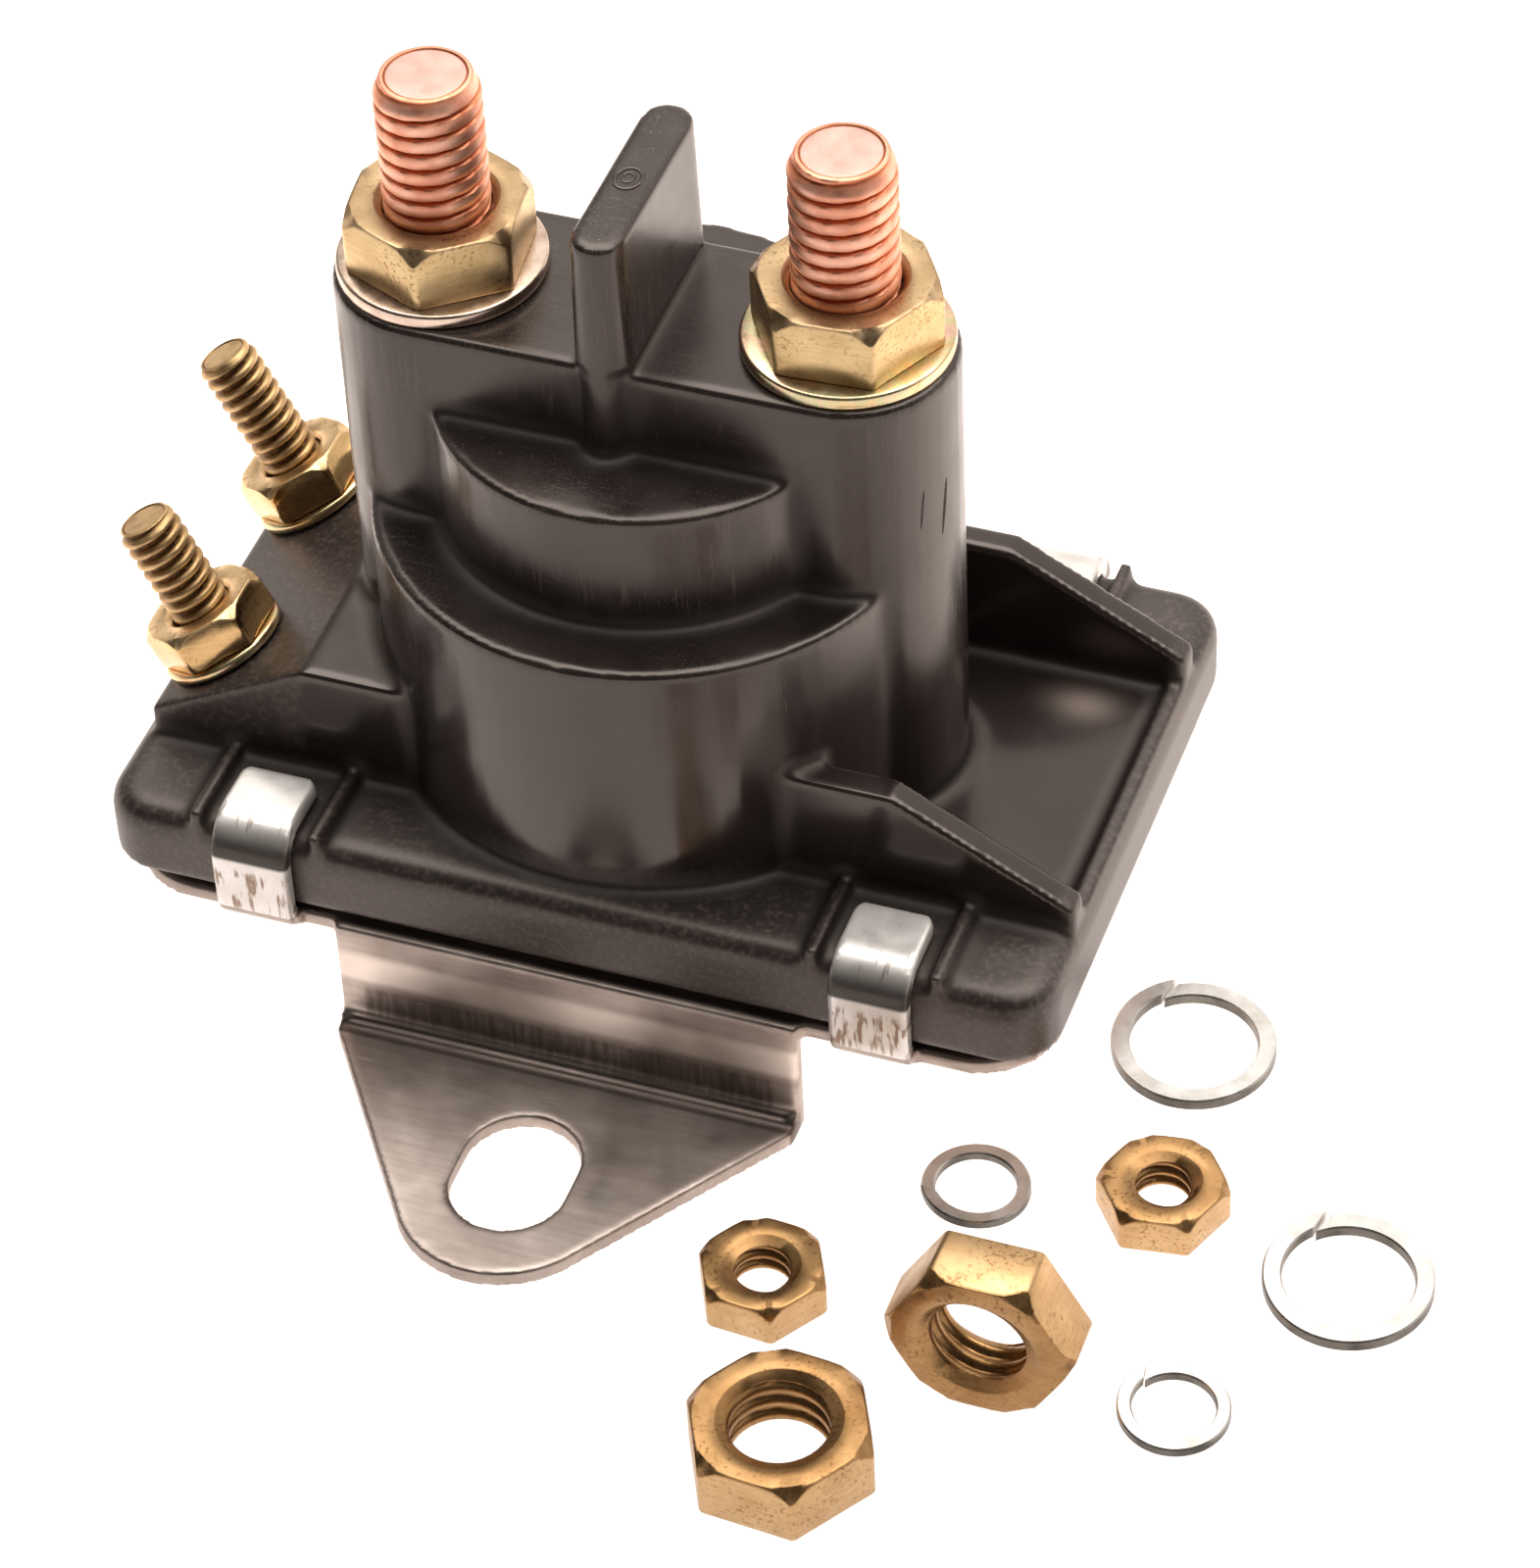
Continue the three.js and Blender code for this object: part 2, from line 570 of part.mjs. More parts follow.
add('yoke_can', yokeCan(), FINISH.zinc);
add('fixed_core', fixedCore(), FINISH.darkSteel);
add('coil_bobbin', bobbin(), FINISH.insulation);
add('coil_winding', ring(7.5, 15.2, 4.8, 21.2, 40), FINISH.enamel);
add('guide_sleeve', ring(MAGNET.sleeve[0], MAGNET.sleeve[1], 3.4, 22.6), FINISH.brass);
add('return_spring', spring(2.6, 0.35, 5, PLUNGER.recessFloor + 0.1, MAGNET.coreFoot - 0.1), FINISH.darkSteel);
add('plunger', plunger(), FINISH.darkSteel);
add('plunger_rod', disc(ROD.radius, ROD.foot, ROD.tip, 0, 0, 24), FINISH.zinc);
add('spring_seat', ring(ROD.radius + 0.05, SEAT.radius, SEAT.bottom, SEAT.top, 24), FINISH.zinc);
add('contact_spring', spring(2.9, 0.35, 4, SEAT.top + 0.1, 32.4), FINISH.darkSteel);
add('insulating_bush', insulatingBush(), FINISH.insulation);
add('contact_bar', contactBar(), FINISH.copper);
add('retaining_clip', ring(ROD.radius + 0.05, 3.2, 35.7, 36.4, 24), FINISH.zinc);
addLooseFasteners();

export default relay;
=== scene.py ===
"""Four-terminal solenoid relay with its spare nuts and lock washers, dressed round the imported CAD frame."""
import math

import bpy
import numpy as np
from mathutils import Matrix, Vector, noise


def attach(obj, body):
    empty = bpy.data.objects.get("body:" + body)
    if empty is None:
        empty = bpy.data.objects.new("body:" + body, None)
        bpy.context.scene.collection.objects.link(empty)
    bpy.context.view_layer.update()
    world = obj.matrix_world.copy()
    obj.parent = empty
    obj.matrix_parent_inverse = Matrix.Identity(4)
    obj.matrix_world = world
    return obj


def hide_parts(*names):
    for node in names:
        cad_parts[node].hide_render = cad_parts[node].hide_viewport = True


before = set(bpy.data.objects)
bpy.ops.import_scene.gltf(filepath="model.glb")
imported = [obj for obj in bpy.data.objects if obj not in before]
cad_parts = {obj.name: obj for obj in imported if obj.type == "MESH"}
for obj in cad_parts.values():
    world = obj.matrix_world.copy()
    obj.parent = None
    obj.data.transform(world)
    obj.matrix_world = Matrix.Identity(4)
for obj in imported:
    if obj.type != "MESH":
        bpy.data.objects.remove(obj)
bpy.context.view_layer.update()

MM = 0.001

# ---------- sizes in millimetres, repeated from the CAD ----------
GROUND = -9.4
TOWER_TOP = 46.4
STUD_TIP = 63.2
FIN_TOP = 58.2
FIN_FRONT = -9.5
FIN_BACK = 8.2
POCKET_FLOOR = 7.6
TERMINAL_X = 15.35
COIL_Y = 9.0
SLOPE_X = -32.0
PLATE_TOP = 1.4
EAR_TOP = -8.0
LEG_FACE = 24.1
LEG_HALF = 18.2
TAB = {"x": 24.1, "half": 3.05, "inner": 17.8, "corner": 1.1, "above": 8.0}
SLOPE_CREST = (-22.9, 17.8)
SLOPE_LOW = (-35.8, 10.8)
SLOPE = math.atan2(SLOPE_CREST[1] - SLOPE_LOW[1], SLOPE_CREST[0] - SLOPE_LOW[0])
SLOPE_SEAT_Z = SLOPE_CREST[1] - (SLOPE_CREST[0] - SLOPE_X) * math.tan(SLOPE)

# ---------- fasteners, with the threads and edges that the CAD leaves off ----------
MAIN = {
    "radius": 3.9, "root": 3.36, "pitch": 1.41, "tip": 3.38, "taper": 1.5, "head": (37.9, 41.4, 5.4),
    "thread_from": 45.0, "top": STUD_TIP, "crest": 0.72, "turns": 96, "step": 0.1,
}
COIL = {
    "radius": 2.35, "root": 1.88, "pitch": 1.06, "tip": 2.02, "taper": 0.8, "head": (-4.8, -2.8, 3.0),
    "thread_from": -0.6, "top": 12.4, "crest": 0.40, "turns": 72, "step": 0.08,
}
MAIN_NUT = {
    "across": 12.4, "height": 4.9, "crown": 6.5, "bore": 4.0, "pitch": 1.41, "sink": 0.55, "seat": 1.2,
}
COIL_NUT = {
    "across": 8.7, "height": 3.2, "crown": 4.55, "bore": 2.45, "pitch": 1.06, "sink": 0.4, "seat": 1.05,
}
MAIN_WASHER = {"inner": 4.1, "outer": 7.7, "low": 0.02, "high": 1.18}
COIL_WASHER = {"inner": 2.55, "outer": 4.9, "low": 0.16, "high": 0.94}
MAIN_LOCK = {"inner": 4.8, "outer": 6.2, "height": 1.0, "lift": 0.55}
COIL_LOCK = {"inner": 3.0, "outer": 4.05, "height": 0.8, "lift": 0.45}
REAR_STUD_LONGER = 1.8
FRONT_STUD_LEAN = math.radians(1.7)
THREAD_START = 0.6  # radians
# dome is a share of the thread's height, root and rise are shares of the groove's width, the rest is in mm.
THREAD = {"dome": 0.18, "root": 0.40, "rise": 0.56, "shallowest": 0.05, "wobble": 0.03}
STUD_EDGE = 0.2
STUD_LIP = 0.15
NUT_THREAD = {"crest": 0.40, "depth": 0.42, "step": 0.1}
NUT_EDGE = 0.18
NUT_EDGE_MIDDLE = 0.05
NUT_CORNER_ROUND = 0.09
CORNER_SLOPE = 1.6

# ---------- where the loose fasteners lie: x, y and a turn in degrees ----------
LOOSE_NUTS = (
    ("spare_main_nut_flat", MAIN_NUT, (27.4, -54.4), -4),
    ("spare_coil_nut_near", COIL_NUT, (20.9, -39.8), -4),
    ("spare_coil_nut_far", COIL_NUT, (45.9, -23.3), 8),
)
STANDING_NUT = (38.8, -40.5)
LOOSE_LOCK_WASHERS = (
    ("main_lock_washer_far", MAIN_LOCK, (43.5, -7.3), 135),
    ("main_lock_washer_near", MAIN_LOCK, (60.7, -26.5), 136),
    ("coil_lock_washer_far", COIL_LOCK, (32.4, -25.7), -140),
    ("coil_lock_washer_near", COIL_LOCK, (52.2, -41.7), 151),
)

# ---------- surface detail in millimetres, made here and not in the CAD ----------
HOUSING_SKIN = {"voxel": 0.36, "passes": 6}
BRACKET_SKIN = {"voxel": 0.3, "passes": 3}
# How far a relaxed skin may stray from a flat face, and past an edge.
NEAR_FLAT = 0.25
NEAR_EDGE = 0.3
FIN_DRAFT = {"half": 3.0, "above": 0.6, "wider": 1.07, "taper": 0.16}
SINK = {"x": 29.0, "y": 6.5, "wide": 3.6, "long": 2.6, "depth": 0.05, "near": 0.4}
# A painted highlight on the pocket floor: a soft spot, mixed lighter and rougher in the plastic.
POCKET_HIGHLIGHT = {"x": 29.8, "y": 9.2, "wide": 2.6, "long": 1.7, "level": 0.75, "near": 0.6}
# How strongly hollows count: the plastic gives them painted shade and more roughness.
HOLLOW = {"radius": 3.0, "gain": 2, "steps": 3, "spread": 1.2}
MATT = {"slope": (-24.0, -22.5), "flange": (15.5, 17.0), "tower": (9.0, 11.0), "side": (35.0, 36.0)}
FLASH = {"half": 0.14, "proud": 0.10, "seat": 0.15, "crest": 0.02, "steps": 12}
FLASH_LINES = (
    ("flash_line_left", (22.02, -4.51, 34.4), (22.20, -4.22, 37.7)),
    ("flash_line_right", (22.97, -2.60, 32.6), (23.14, -2.02, 37.4)),
)
FIN_MARKS = (
    ("fin_gate_mark", (-0.1, -1.05), (0.95, 1.2), 0.19),
    ("fin_gate_mark_inner", (-0.15, -0.95), (0.4, 0.55), 0.16),
    ("fin_pin_mark_back", (-0.5, 5.3), (0.30, 0.95), 0.05),
    ("fin_pin_mark_front", (0.3, -7.2), (0.35, 0.9), 0.05),
)
FIN_MARK_Z = FIN_TOP - 0.02
EAR_BEND = 1.5
EAR_ROOM = 0.5
TAB_LOOK_FROM = 1.9

# Each mark on the outside of the bracket fades in between its first two heights and out between the others.
# This band on the tabs' bend is near-black painted shade.
BAND = (6.85, 7.05, 8.0, 9.8)
SMEAR = (1.5, 2.5, 5.6, 6.4)
# The next band is a painted highlight, lighter high on the outside of each leg.
LEG_HIGHLIGHT = (-4.2, -3.4, -1.6, -0.6)
# A darker streaky band low on the outside of each leg.
LOW_LEG_BAND = (-7.6, -7.0, -4.6, -4.2)
BAND_LEVEL = 0.97
OUTSIDE = (LEG_FACE - 0.6, LEG_FACE - 0.1)
CRACKED_OUT = (21.0, 23.0)
CRACKED_UP = (8.0, 8.6)
SHADED_UP = (-7.9, -7.2)
SHADED_REACH = LEG_FACE + 1.6
LOW_LEG_BAND_HALF = LEG_HALF - 2

# ---------- light ----------
FLOOR_HALF = 2600
FLOOR_FADE = (-50.0, 15.0)
FLOOR_FRONT = (1.16, 1.05, 1.0, 1)
FLOOR_BACK = (2.1, 1.85, 1.70, 1)
TENT = ((-0.55, 0.05), (-0.12, 0.10), (0.10, 0.60), (0.9, 0.66))
TENT_TINT = (1.0, 0.93, 0.87)
TENT_STRENGTH = 1.5
TENT_LEFT = 0.42
TENT_LEFT_FADE = (-0.60, -0.36)
# The softbox is in metres and watts.
OVERHEAD = {
    "at": (0.02, 0.14, 0.62), "aim": (0, 0, 0.02), "width": 0.90, "depth": 0.55,
    "watts": 5.0, "colour": (1.0, 0.97, 0.93),
}

# ---------- the viewing angle ----------
# Angles in radians, distance and aim in millimetres from the tower top, and clip in metres.
CAMERA = {
    "azimuth": math.radians(21.402), "elevation": math.radians(43.454), "roll": math.radians(-2.869),
    "distance": 417.54, "aim": (8.952, -34.230), "lens": 135.0, "sensor": 36.0, "clip": (0.01, 20),
}


# ---------- small helpers ----------
def link(thing):
    bpy.context.scene.collection.objects.link(thing)
    return thing


def mesh_from(name, points, faces):
    """A mesh from points in millimetres."""
    mesh = bpy.data.meshes.new(name)
    mesh.from_pydata([(x * MM, y * MM, z * MM) for x, y, z in points], [], faces)
    return mesh


def set_materials(mesh, material):
    """Give a mesh one material, or a tuple of them."""
    mesh.materials.clear()
    for each in material if isinstance(material, tuple) else (material,):
        mesh.materials.append(each)


def object_from(name, points, faces, material, body, nodes=(), creases=35.0):
    """A mesh piece from points in millimetres, riding on a body and standing for CAD nodes."""
    mesh = mesh_from(name, points, faces)
    mesh.update()
    for face in mesh.polygons:
        face.use_smooth = True
    mesh.set_sharp_from_angle(angle=math.radians(creases))
    set_materials(mesh, material)
    piece = link(bpy.data.objects.new(name, mesh))
    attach(piece, body)
    if nodes:
        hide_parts(*nodes)
    return piece


def revolve(rows, closed):
    """Points and faces of rings of equal length; closed joins the last ring to the first one."""
    count = len(rows[0])
    points = [point for row in rows for point in row]
    faces = []
    spans = len(rows) if closed else len(rows) - 1
    for i in range(spans):
        low = i * count
        high = ((i + 1) % len(rows)) * count
        for j in range(count):
            k = (j + 1) % count
            faces.append((low + j, low + k, high + k, high + j))
    if not closed:
        faces.append(tuple(range(count))[::-1])
        last = (len(rows) - 1) * count
        faces.append(tuple(last + j for j in range(count)))
    return points, faces


def resting(centre, z, turn):
    """The matrix of a place at a height, turned about the vertical by some degrees."""
    return Matrix.Translation((centre[0], centre[1], z)) @ Matrix.Rotation(math.radians(turn), 4, "Z")


def place(points, matrix):
    """Points moved by a matrix."""
    return [tuple(matrix @ Vector(point)) for point in points]


def smoothstep(low, high, value):
    """0 up to one value and 1 from another, with a smooth rise between."""
    t = min(1.0, max(0.0, (value - low) / (high - low)))
    return t * t * (3 - 2 * t)


def spot(x, y, oval):
    """1 in the middle of a soft oval spot, falling to 0 round it."""
    away = ((x - oval["x"]) / oval["wide"]) ** 2 + ((y - oval["y"]) / oval["long"]) ** 2
    return math.exp(-away)


# ---------- materials ----------
class Look:
    """A Principled material with short calls for its noise, ramps and bump."""

    def __init__(self, name, **sockets):
        self.material = bpy.data.materials.new(name)
        self.material.use_nodes = True
        self.tree = self.material.node_tree
        self.shader = self.tree.nodes["Principled BSDF"]
        for socket, value in sockets.items():
            self.shader.inputs[socket.replace("_", " ")].default_value = value
        self.coordinates = self.tree.nodes.new("ShaderNodeTexCoord").outputs["Object"]

    def wire(self, output, socket):
        self.tree.links.new(output, self.shader.inputs[socket])

    def noise(self, scale, stretch=(1, 1, 1), detail=4.0, distortion=0.0, turn=(0, 0, 0)):
        mapping = self.tree.nodes.new("ShaderNodeMapping")
        mapping.inputs["Scale"].default_value = stretch
        mapping.inputs["Rotation"].default_value = turn
        self.tree.links.new(self.coordinates, mapping.inputs["Vector"])
        node = self.tree.nodes.new("ShaderNodeTexNoise")
        node.inputs["Scale"].default_value = scale
        node.inputs["Detail"].default_value = detail
        node.inputs["Distortion"].default_value = distortion
        self.tree.links.new(mapping.outputs["Vector"], node.inputs["Vector"])
        return node.outputs["Fac"]

    def attribute(self, name):
        node = self.tree.nodes.new("ShaderNodeAttribute")
        node.attribute_name = name
        return node.outputs["Fac"]

    def height(self, low, high):
        """0 below one height in millimetres and 1 above another."""
        split = self.tree.nodes.new("ShaderNodeSeparateXYZ")
        self.tree.links.new(self.coordinates, split.inputs["Vector"])
        node = self.tree.nodes.new("ShaderNodeMapRange")
        node.interpolation_type = "SMOOTHSTEP"
        node.inputs["From Min"].default_value = low * MM
        node.inputs["From Max"].default_value = high * MM
        self.tree.links.new(split.outputs["Z"], node.inputs["Value"])
        return node.outputs["Result"]

    def ramp(self, factor, *stops):
        node = self.tree.nodes.new("ShaderNodeValToRGB")
        elements = node.color_ramp.elements
        while len(elements) < len(stops):
            elements.new(0.5)
        for element, (position, colour) in zip(elements, stops):
            element.position = position
            if not isinstance(colour, (tuple, list)):
                colour = (colour, colour, colour)
            element.color = (*colour, 1.0)
        self.tree.links.new(factor, node.inputs["Fac"])
        return node.outputs["Color"]

    def math(self, operation, a, b):
        node = self.tree.nodes.new("ShaderNodeMath")
        node.operation = operation
        for socket, value in zip(node.inputs, (a, b)):
            if isinstance(value, (int, float)):
                socket.default_value = value
            else:
                self.tree.links.new(value, socket)
        return node.outputs[0]

    def mix(self, factor, a, b):
        node = self.tree.nodes.new("ShaderNodeMix")
        node.data_type = "RGBA"
        colours = [socket for socket in node.inputs if socket.type == "RGBA"]
        for socket, value in zip(colours, (a, b)):
            if isinstance(value, (tuple, list)):
                socket.default_value = (*value, 1.0)
            else:
                self.tree.links.new(value, socket)
        if isinstance(factor, (int, float)):
            node.inputs["Factor"].default_value = factor
        else:
            self.tree.links.new(factor, node.inputs["Factor"])
        return next(socket for socket in node.outputs if socket.type == "RGBA")

    def bump(self, height, strength, distance, under=None):
        node = self.tree.nodes.new("ShaderNodeBump")
        node.inputs["Strength"].default_value = strength
        node.inputs["Distance"].default_value = distance * MM
        self.tree.links.new(height, node.inputs["Height"])
        if under is not None:
            self.tree.links.new(under, node.inputs["Normal"])
        return node.outputs["Normal"]


def moulded_plastic():
    """Black moulding: glossy low down, frosted on the flange, rubbed with fine marks on the tower."""
    look = Look("moulded_plastic", IOR=1.55, Specular_IOR_Level=0.72, Specular_Tint=(1.0, 0.87, 0.80, 1.0))
    tone = look.noise(160, detail=5)
    base = look.ramp(tone, (0.35, (0.0155, 0.0112, 0.0106)), (0.7, (0.0225, 0.0168, 0.0156)))
    rubs = look.noise(520, stretch=(9, 9, 0.45), detail=3, turn=(0.1, 0.05, 0))
    crossed = look.noise(520, stretch=(0.6, 9, 9), detail=3, turn=(0.0, 0.35, 0.5))
    patches = look.noise(95, detail=3)
    high = look.height(14.0, 34.0)
    where = look.math("MULTIPLY", look.ramp(patches, (0.40, 0.1), (0.62, 1.0)), high)
    rub_mask = look.math("MULTIPLY", look.ramp(rubs, (0.56, 0.0), (0.72, 0.8)), where)
    cross_mask = look.math("MULTIPLY", look.ramp(crossed, (0.62, 0.0), (0.74, 0.7)), where)
    marks = look.math("MAXIMUM", rub_mask, cross_mask)
    frost = look.ramp(look.noise(2200, detail=5), (0.48, 0.0), (0.68, 0.7))
    frosted = look.math("MULTIPLY", look.attribute("matt"), frost)
    marks = look.math("MAXIMUM", marks, frosted)
    hollow = look.attribute("hollow")
    base = look.mix(marks, base, (0.085, 0.068, 0.058))
    # Painted highlight: the pocket floor spot is mixed towards a paler brown.
    base = look.mix(look.attribute("pocket_highlight"), base, (0.24, 0.19, 0.165))
    # Painted shade: inside corners are mixed towards a deeper black.
    look.wire(look.mix(hollow, base, (0.008, 0.0055, 0.005)), "Base Color")
    low_rough = look.ramp(look.noise(230, detail=4), (0.3, 0.15), (0.75, 0.22))
    high_rough = look.ramp(look.noise(230, detail=4), (0.3, 0.22), (0.75, 0.34))
    low_rough = look.mix(look.attribute("matt"), low_rough, (0.40, 0.40, 0.40))
    rough = look.mix(high, low_rough, high_rough)
    rough = look.mix(marks, rough, (0.45, 0.45, 0.45))
    rough = look.mix(look.attribute("pocket_highlight"), rough, (0.45, 0.45, 0.45))
    look.wire(look.mix(hollow, rough, (0.55, 0.55, 0.55)), "Roughness")
    soft = look.bump(look.noise(60, detail=1), 0.06, 0.2)
    fine = look.bump(look.noise(2600, detail=2), 0.05, 0.02, soft)
    look.wire(look.bump(marks, 0.2, 0.01, fine), "Normal")
    return look.material


def copper():
    """Bare copper thread with redder spots, pale on the crests and darkening down into the grooves as painted
    shade.
    """
    look = Look("bare_copper", Metallic=1.0)
    groove = look.attribute("groove")
    # Painted shade: the colour darkens from the crests down into the grooves by the groove level.
    colour = look.ramp(
        groove, (0.0, (0.18, 0.045, 0.02)), (0.55, (0.66, 0.25, 0.13)),
        (0.84, (0.88, 0.42, 0.27)), (1.0, (0.93, 0.55, 0.41)),
    )
    spots = look.ramp(look.noise(420, detail=5), (0.40, 1.0), (0.56, 0.0))
    colour = look.mix(look.math("MULTIPLY", spots, 0.5), colour, (0.62, 0.19, 0.09))
    look.wire(colour, "Base Color")
    look.wire(look.ramp(look.noise(900, detail=3), (0.3, 0.42), (0.7, 0.56)), "Roughness")
    look.wire(look.bump(look.noise(1500, stretch=(1, 1, 4), detail=3), 0.25, 0.04), "Normal")
    return look.material


def stud_end():
    """The turned end face of a copper stud, duller and paler than its thread."""
    look = Look("stud_end_face", Metallic=0.55)
    tone = look.noise(600, detail=4)
    look.wire(look.ramp(tone, (0.3, (0.60, 0.40, 0.33)), (0.7, (0.72, 0.53, 0.46))), "Base Color")
    look.wire(look.ramp(look.noise(1500), (0.3, 0.42), (0.7, 0.58)), "Roughness")
    look.wire(look.bump(look.noise(1800, stretch=(1, 5, 1)), 0.2, 0.02), "Normal")
    return look.material


def brass(name, pale, dark, grime, rough=(0.30, 0.44)):
    """Machined brass: cutting lines, dull patches and fine brown specks."""
    look = Look(name, Metallic=1.0)
    tone = look.noise(300, detail=6)
    base = look.ramp(tone, (0.28, dark), (0.60, pale))
    cutting = look.noise(900, stretch=(0.35, 0.35, 5), detail=2)
    base = look.mix(0.3, base, look.ramp(cutting, (0.35, dark), (0.65, pale)))
    specks = look.ramp(look.noise(3200, detail=3), (0.36, 0.7), (0.44, 0.0))
    patches = look.ramp(look.noise(240, detail=3), (0.42, 0.15), (0.60, 1.0))
    look.wire(look.mix(look.math("MULTIPLY", specks, patches), base, grime), "Base Color")
    look.wire(look.ramp(look.noise(420, detail=4), (0.3, rough[0]), (0.7, rough[1])), "Roughness")
    low = look.bump(look.noise(260, detail=2), 0.12, 0.05)
    look.wire(look.bump(cutting, 0.25, 0.012, low), "Normal")
    return look.material


def threaded_brass():
    """Brass thread with stains, darkening to brown down into the grooves as painted shade."""
    look = Look("threaded_brass", Metallic=1.0)
    groove = look.attribute("groove")
    # Painted shade: the colour darkens from the crests down into the grooves by the groove level.
    colour = look.ramp(
        groove, (0.0, (0.10, 0.05, 0.02)), (0.6, (0.42, 0.26, 0.11)), (0.95, (0.68, 0.47, 0.24))
    )
    stains = look.ramp(look.noise(600, detail=6), (0.35, 1.0), (0.55, 0.0))
    look.wire(look.mix(look.math("MULTIPLY", stains, 0.5), colour, (0.20, 0.11, 0.05)), "Base Color")
    look.wire(look.ramp(look.noise(900), (0.3, 0.40), (0.7, 0.54)), "Roughness")
    look.wire(look.bump(look.noise(1500, detail=3), 0.25, 0.04), "Normal")
    return look.material


def chromate():
    """Yellow chromate on zinc, drifting through straw, green and pink."""
    look = Look("yellow_chromate", Metallic=1.0)
    hue = look.noise(210, detail=3, distortion=1.5)
    colour = look.ramp(
        hue, (0.30, (0.72, 0.46, 0.24)), (0.42, (0.76, 0.58, 0.32)), (0.50, (0.62, 0.60, 0.36)),
        (0.56, (0.82, 0.58, 0.38)), (0.70, (0.80, 0.50, 0.44)),
    )
    look.wire(colour, "Base Color")
    look.wire(look.ramp(look.noise(900), (0.3, 0.2), (0.7, 0.34)), "Roughness")
    look.wire(look.bump(look.noise(1400), 0.2, 0.03), "Normal")
    return look.material


def plated(name, pale, dark, rough=(0.2, 0.36)):
    """A thin metal plating with fine mottling."""
    look = Look(name, Metallic=1.0)
    tone = look.noise(420, detail=5)
    look.wire(look.ramp(tone, (0.3, dark), (0.65, pale)), "Base Color")
    look.wire(look.ramp(look.noise(800), (0.3, rough[0]), (0.7, rough[1])), "Roughness")
    look.wire(look.bump(look.noise(1600), 0.2, 0.03), "Normal")
    return look.material


def bracket_steel():
    """Plated sheet: mottled and faintly brushed, darker in a streaky band low on the outside of each leg,
    with a painted highlight higher up the leg.
    """
    look = Look("bracket_sheet_steel", Metallic=1.0)
    streaks = look.noise(900, stretch=(0.22, 2.2, 2.2), detail=3)
    mottle = look.noise(380, detail=6)
    base = look.ramp(mottle, (0.3, (0.36, 0.295, 0.26)), (0.68, (0.50, 0.43, 0.385)))
    base = look.mix(0.3, base, look.ramp(streaks, (0.3, (0.30, 0.245, 0.215)), (0.68, (0.58, 0.51, 0.46))))
    clouds = look.noise(95, detail=4, distortion=0.6)
    base = look.mix(look.ramp(clouds, (0.42, 0.0), (0.66, 0.6)), base, (0.27, 0.215, 0.19))
    upright = look.ramp(look.noise(700, stretch=(3, 1, 0.3), detail=3), (0.40, 0.75), (0.62, 0.35))
    # A darker streaky band low on the outside of each leg.
    base = look.mix(look.math("MULTIPLY", look.attribute("pressed"), upright), base, (0.15, 0.115, 0.10))
    strokes = look.noise(600, stretch=(0.5, 9, 9), detail=2, turn=(0, 0, 0.5))
    scratches = look.ramp(strokes, (0.70, 0.0), (0.76, 0.7))
    base = look.mix(scratches, base, (0.66, 0.60, 0.56))
    # Painted highlight: a lighter band high on the outside of each leg.
    base = look.mix(look.math("MULTIPLY", look.attribute("bright"), 0.75), base, (0.86, 0.76, 0.68))
    shaded = look.math("MULTIPLY", look.attribute("shaded"), 0.8)
    look.wire(look.mix(shaded, base, (0.10, 0.075, 0.065)), "Base Color")
    look.wire(look.ramp(look.noise(260, detail=4), (0.3, 0.36), (0.7, 0.50)), "Roughness")
    soft = look.bump(look.noise(120, detail=2), 0.12, 0.1)
    look.wire(look.bump(streaks, 0.15, 0.01, soft), "Normal")
    return look.material


def tab_silver():
    """The clamped tabs: bright plate, crazed round the bend and darkened there by a band of painted shade,
    smeared brown below.
    """
    look = Look("bright_tab_plate", Metallic=0.55)
    tone = look.ramp(look.noise(300, detail=4), (0.3, (0.74, 0.70, 0.66)), (0.7, (0.92, 0.89, 0.86)))
    hatching = look.ramp(look.noise(900, stretch=(2.6, 0.5, 0.5), detail=4), (0.40, 1.0), (0.50, 0.0))
    patch = look.ramp(look.noise(330, detail=3), (0.36, 0.0), (0.46, 1.0))
    smears = look.math("MULTIPLY", look.math("MULTIPLY", hatching, patch), look.attribute("smear"))
    base = look.mix(look.math("MULTIPLY", smears, 0.9), tone, (0.27, 0.165, 0.105))
    cracks = look.ramp(look.noise(800, stretch=(3.0, 0.4, 0.4), detail=2), (0.33, 0.6), (0.37, 0.0))
    base = look.mix(look.math("MULTIPLY", cracks, look.attribute("cracked")), base, (0.30, 0.24, 0.20))
    # Painted shade: the band across the bend is mixed towards near black.
    look.wire(look.mix(look.attribute("band"), base, (0.045, 0.036, 0.03)), "Base Color")
    look.wire(look.ramp(look.noise(700), (0.3, 0.26), (0.7, 0.40)), "Roughness")
    soft = look.bump(look.noise(240, detail=2), 0.12, 0.06)
    look.wire(look.bump(look.noise(1700), 0.2, 0.02, soft), "Normal")
    return look.material


def plain(name, pale, dark, rough, scale=300, metallic=0.0):
    """A plain mottled finish for the gasket and the parts inside."""
    look = Look(name, Metallic=metallic)
    look.wire(look.ramp(look.noise(scale), (0.3, dark), (0.7, pale)), "Base Color")
    look.wire(look.ramp(look.noise(scale * 2), (0.3, rough - 0.08), (0.7, rough + 0.08)), "Roughness")
    look.wire(look.bump(look.noise(scale * 5), 0.2, 0.03), "Normal")
    return look.material


PLASTIC = moulded_plastic()
COPPER = copper()
STUD_END = stud_end()
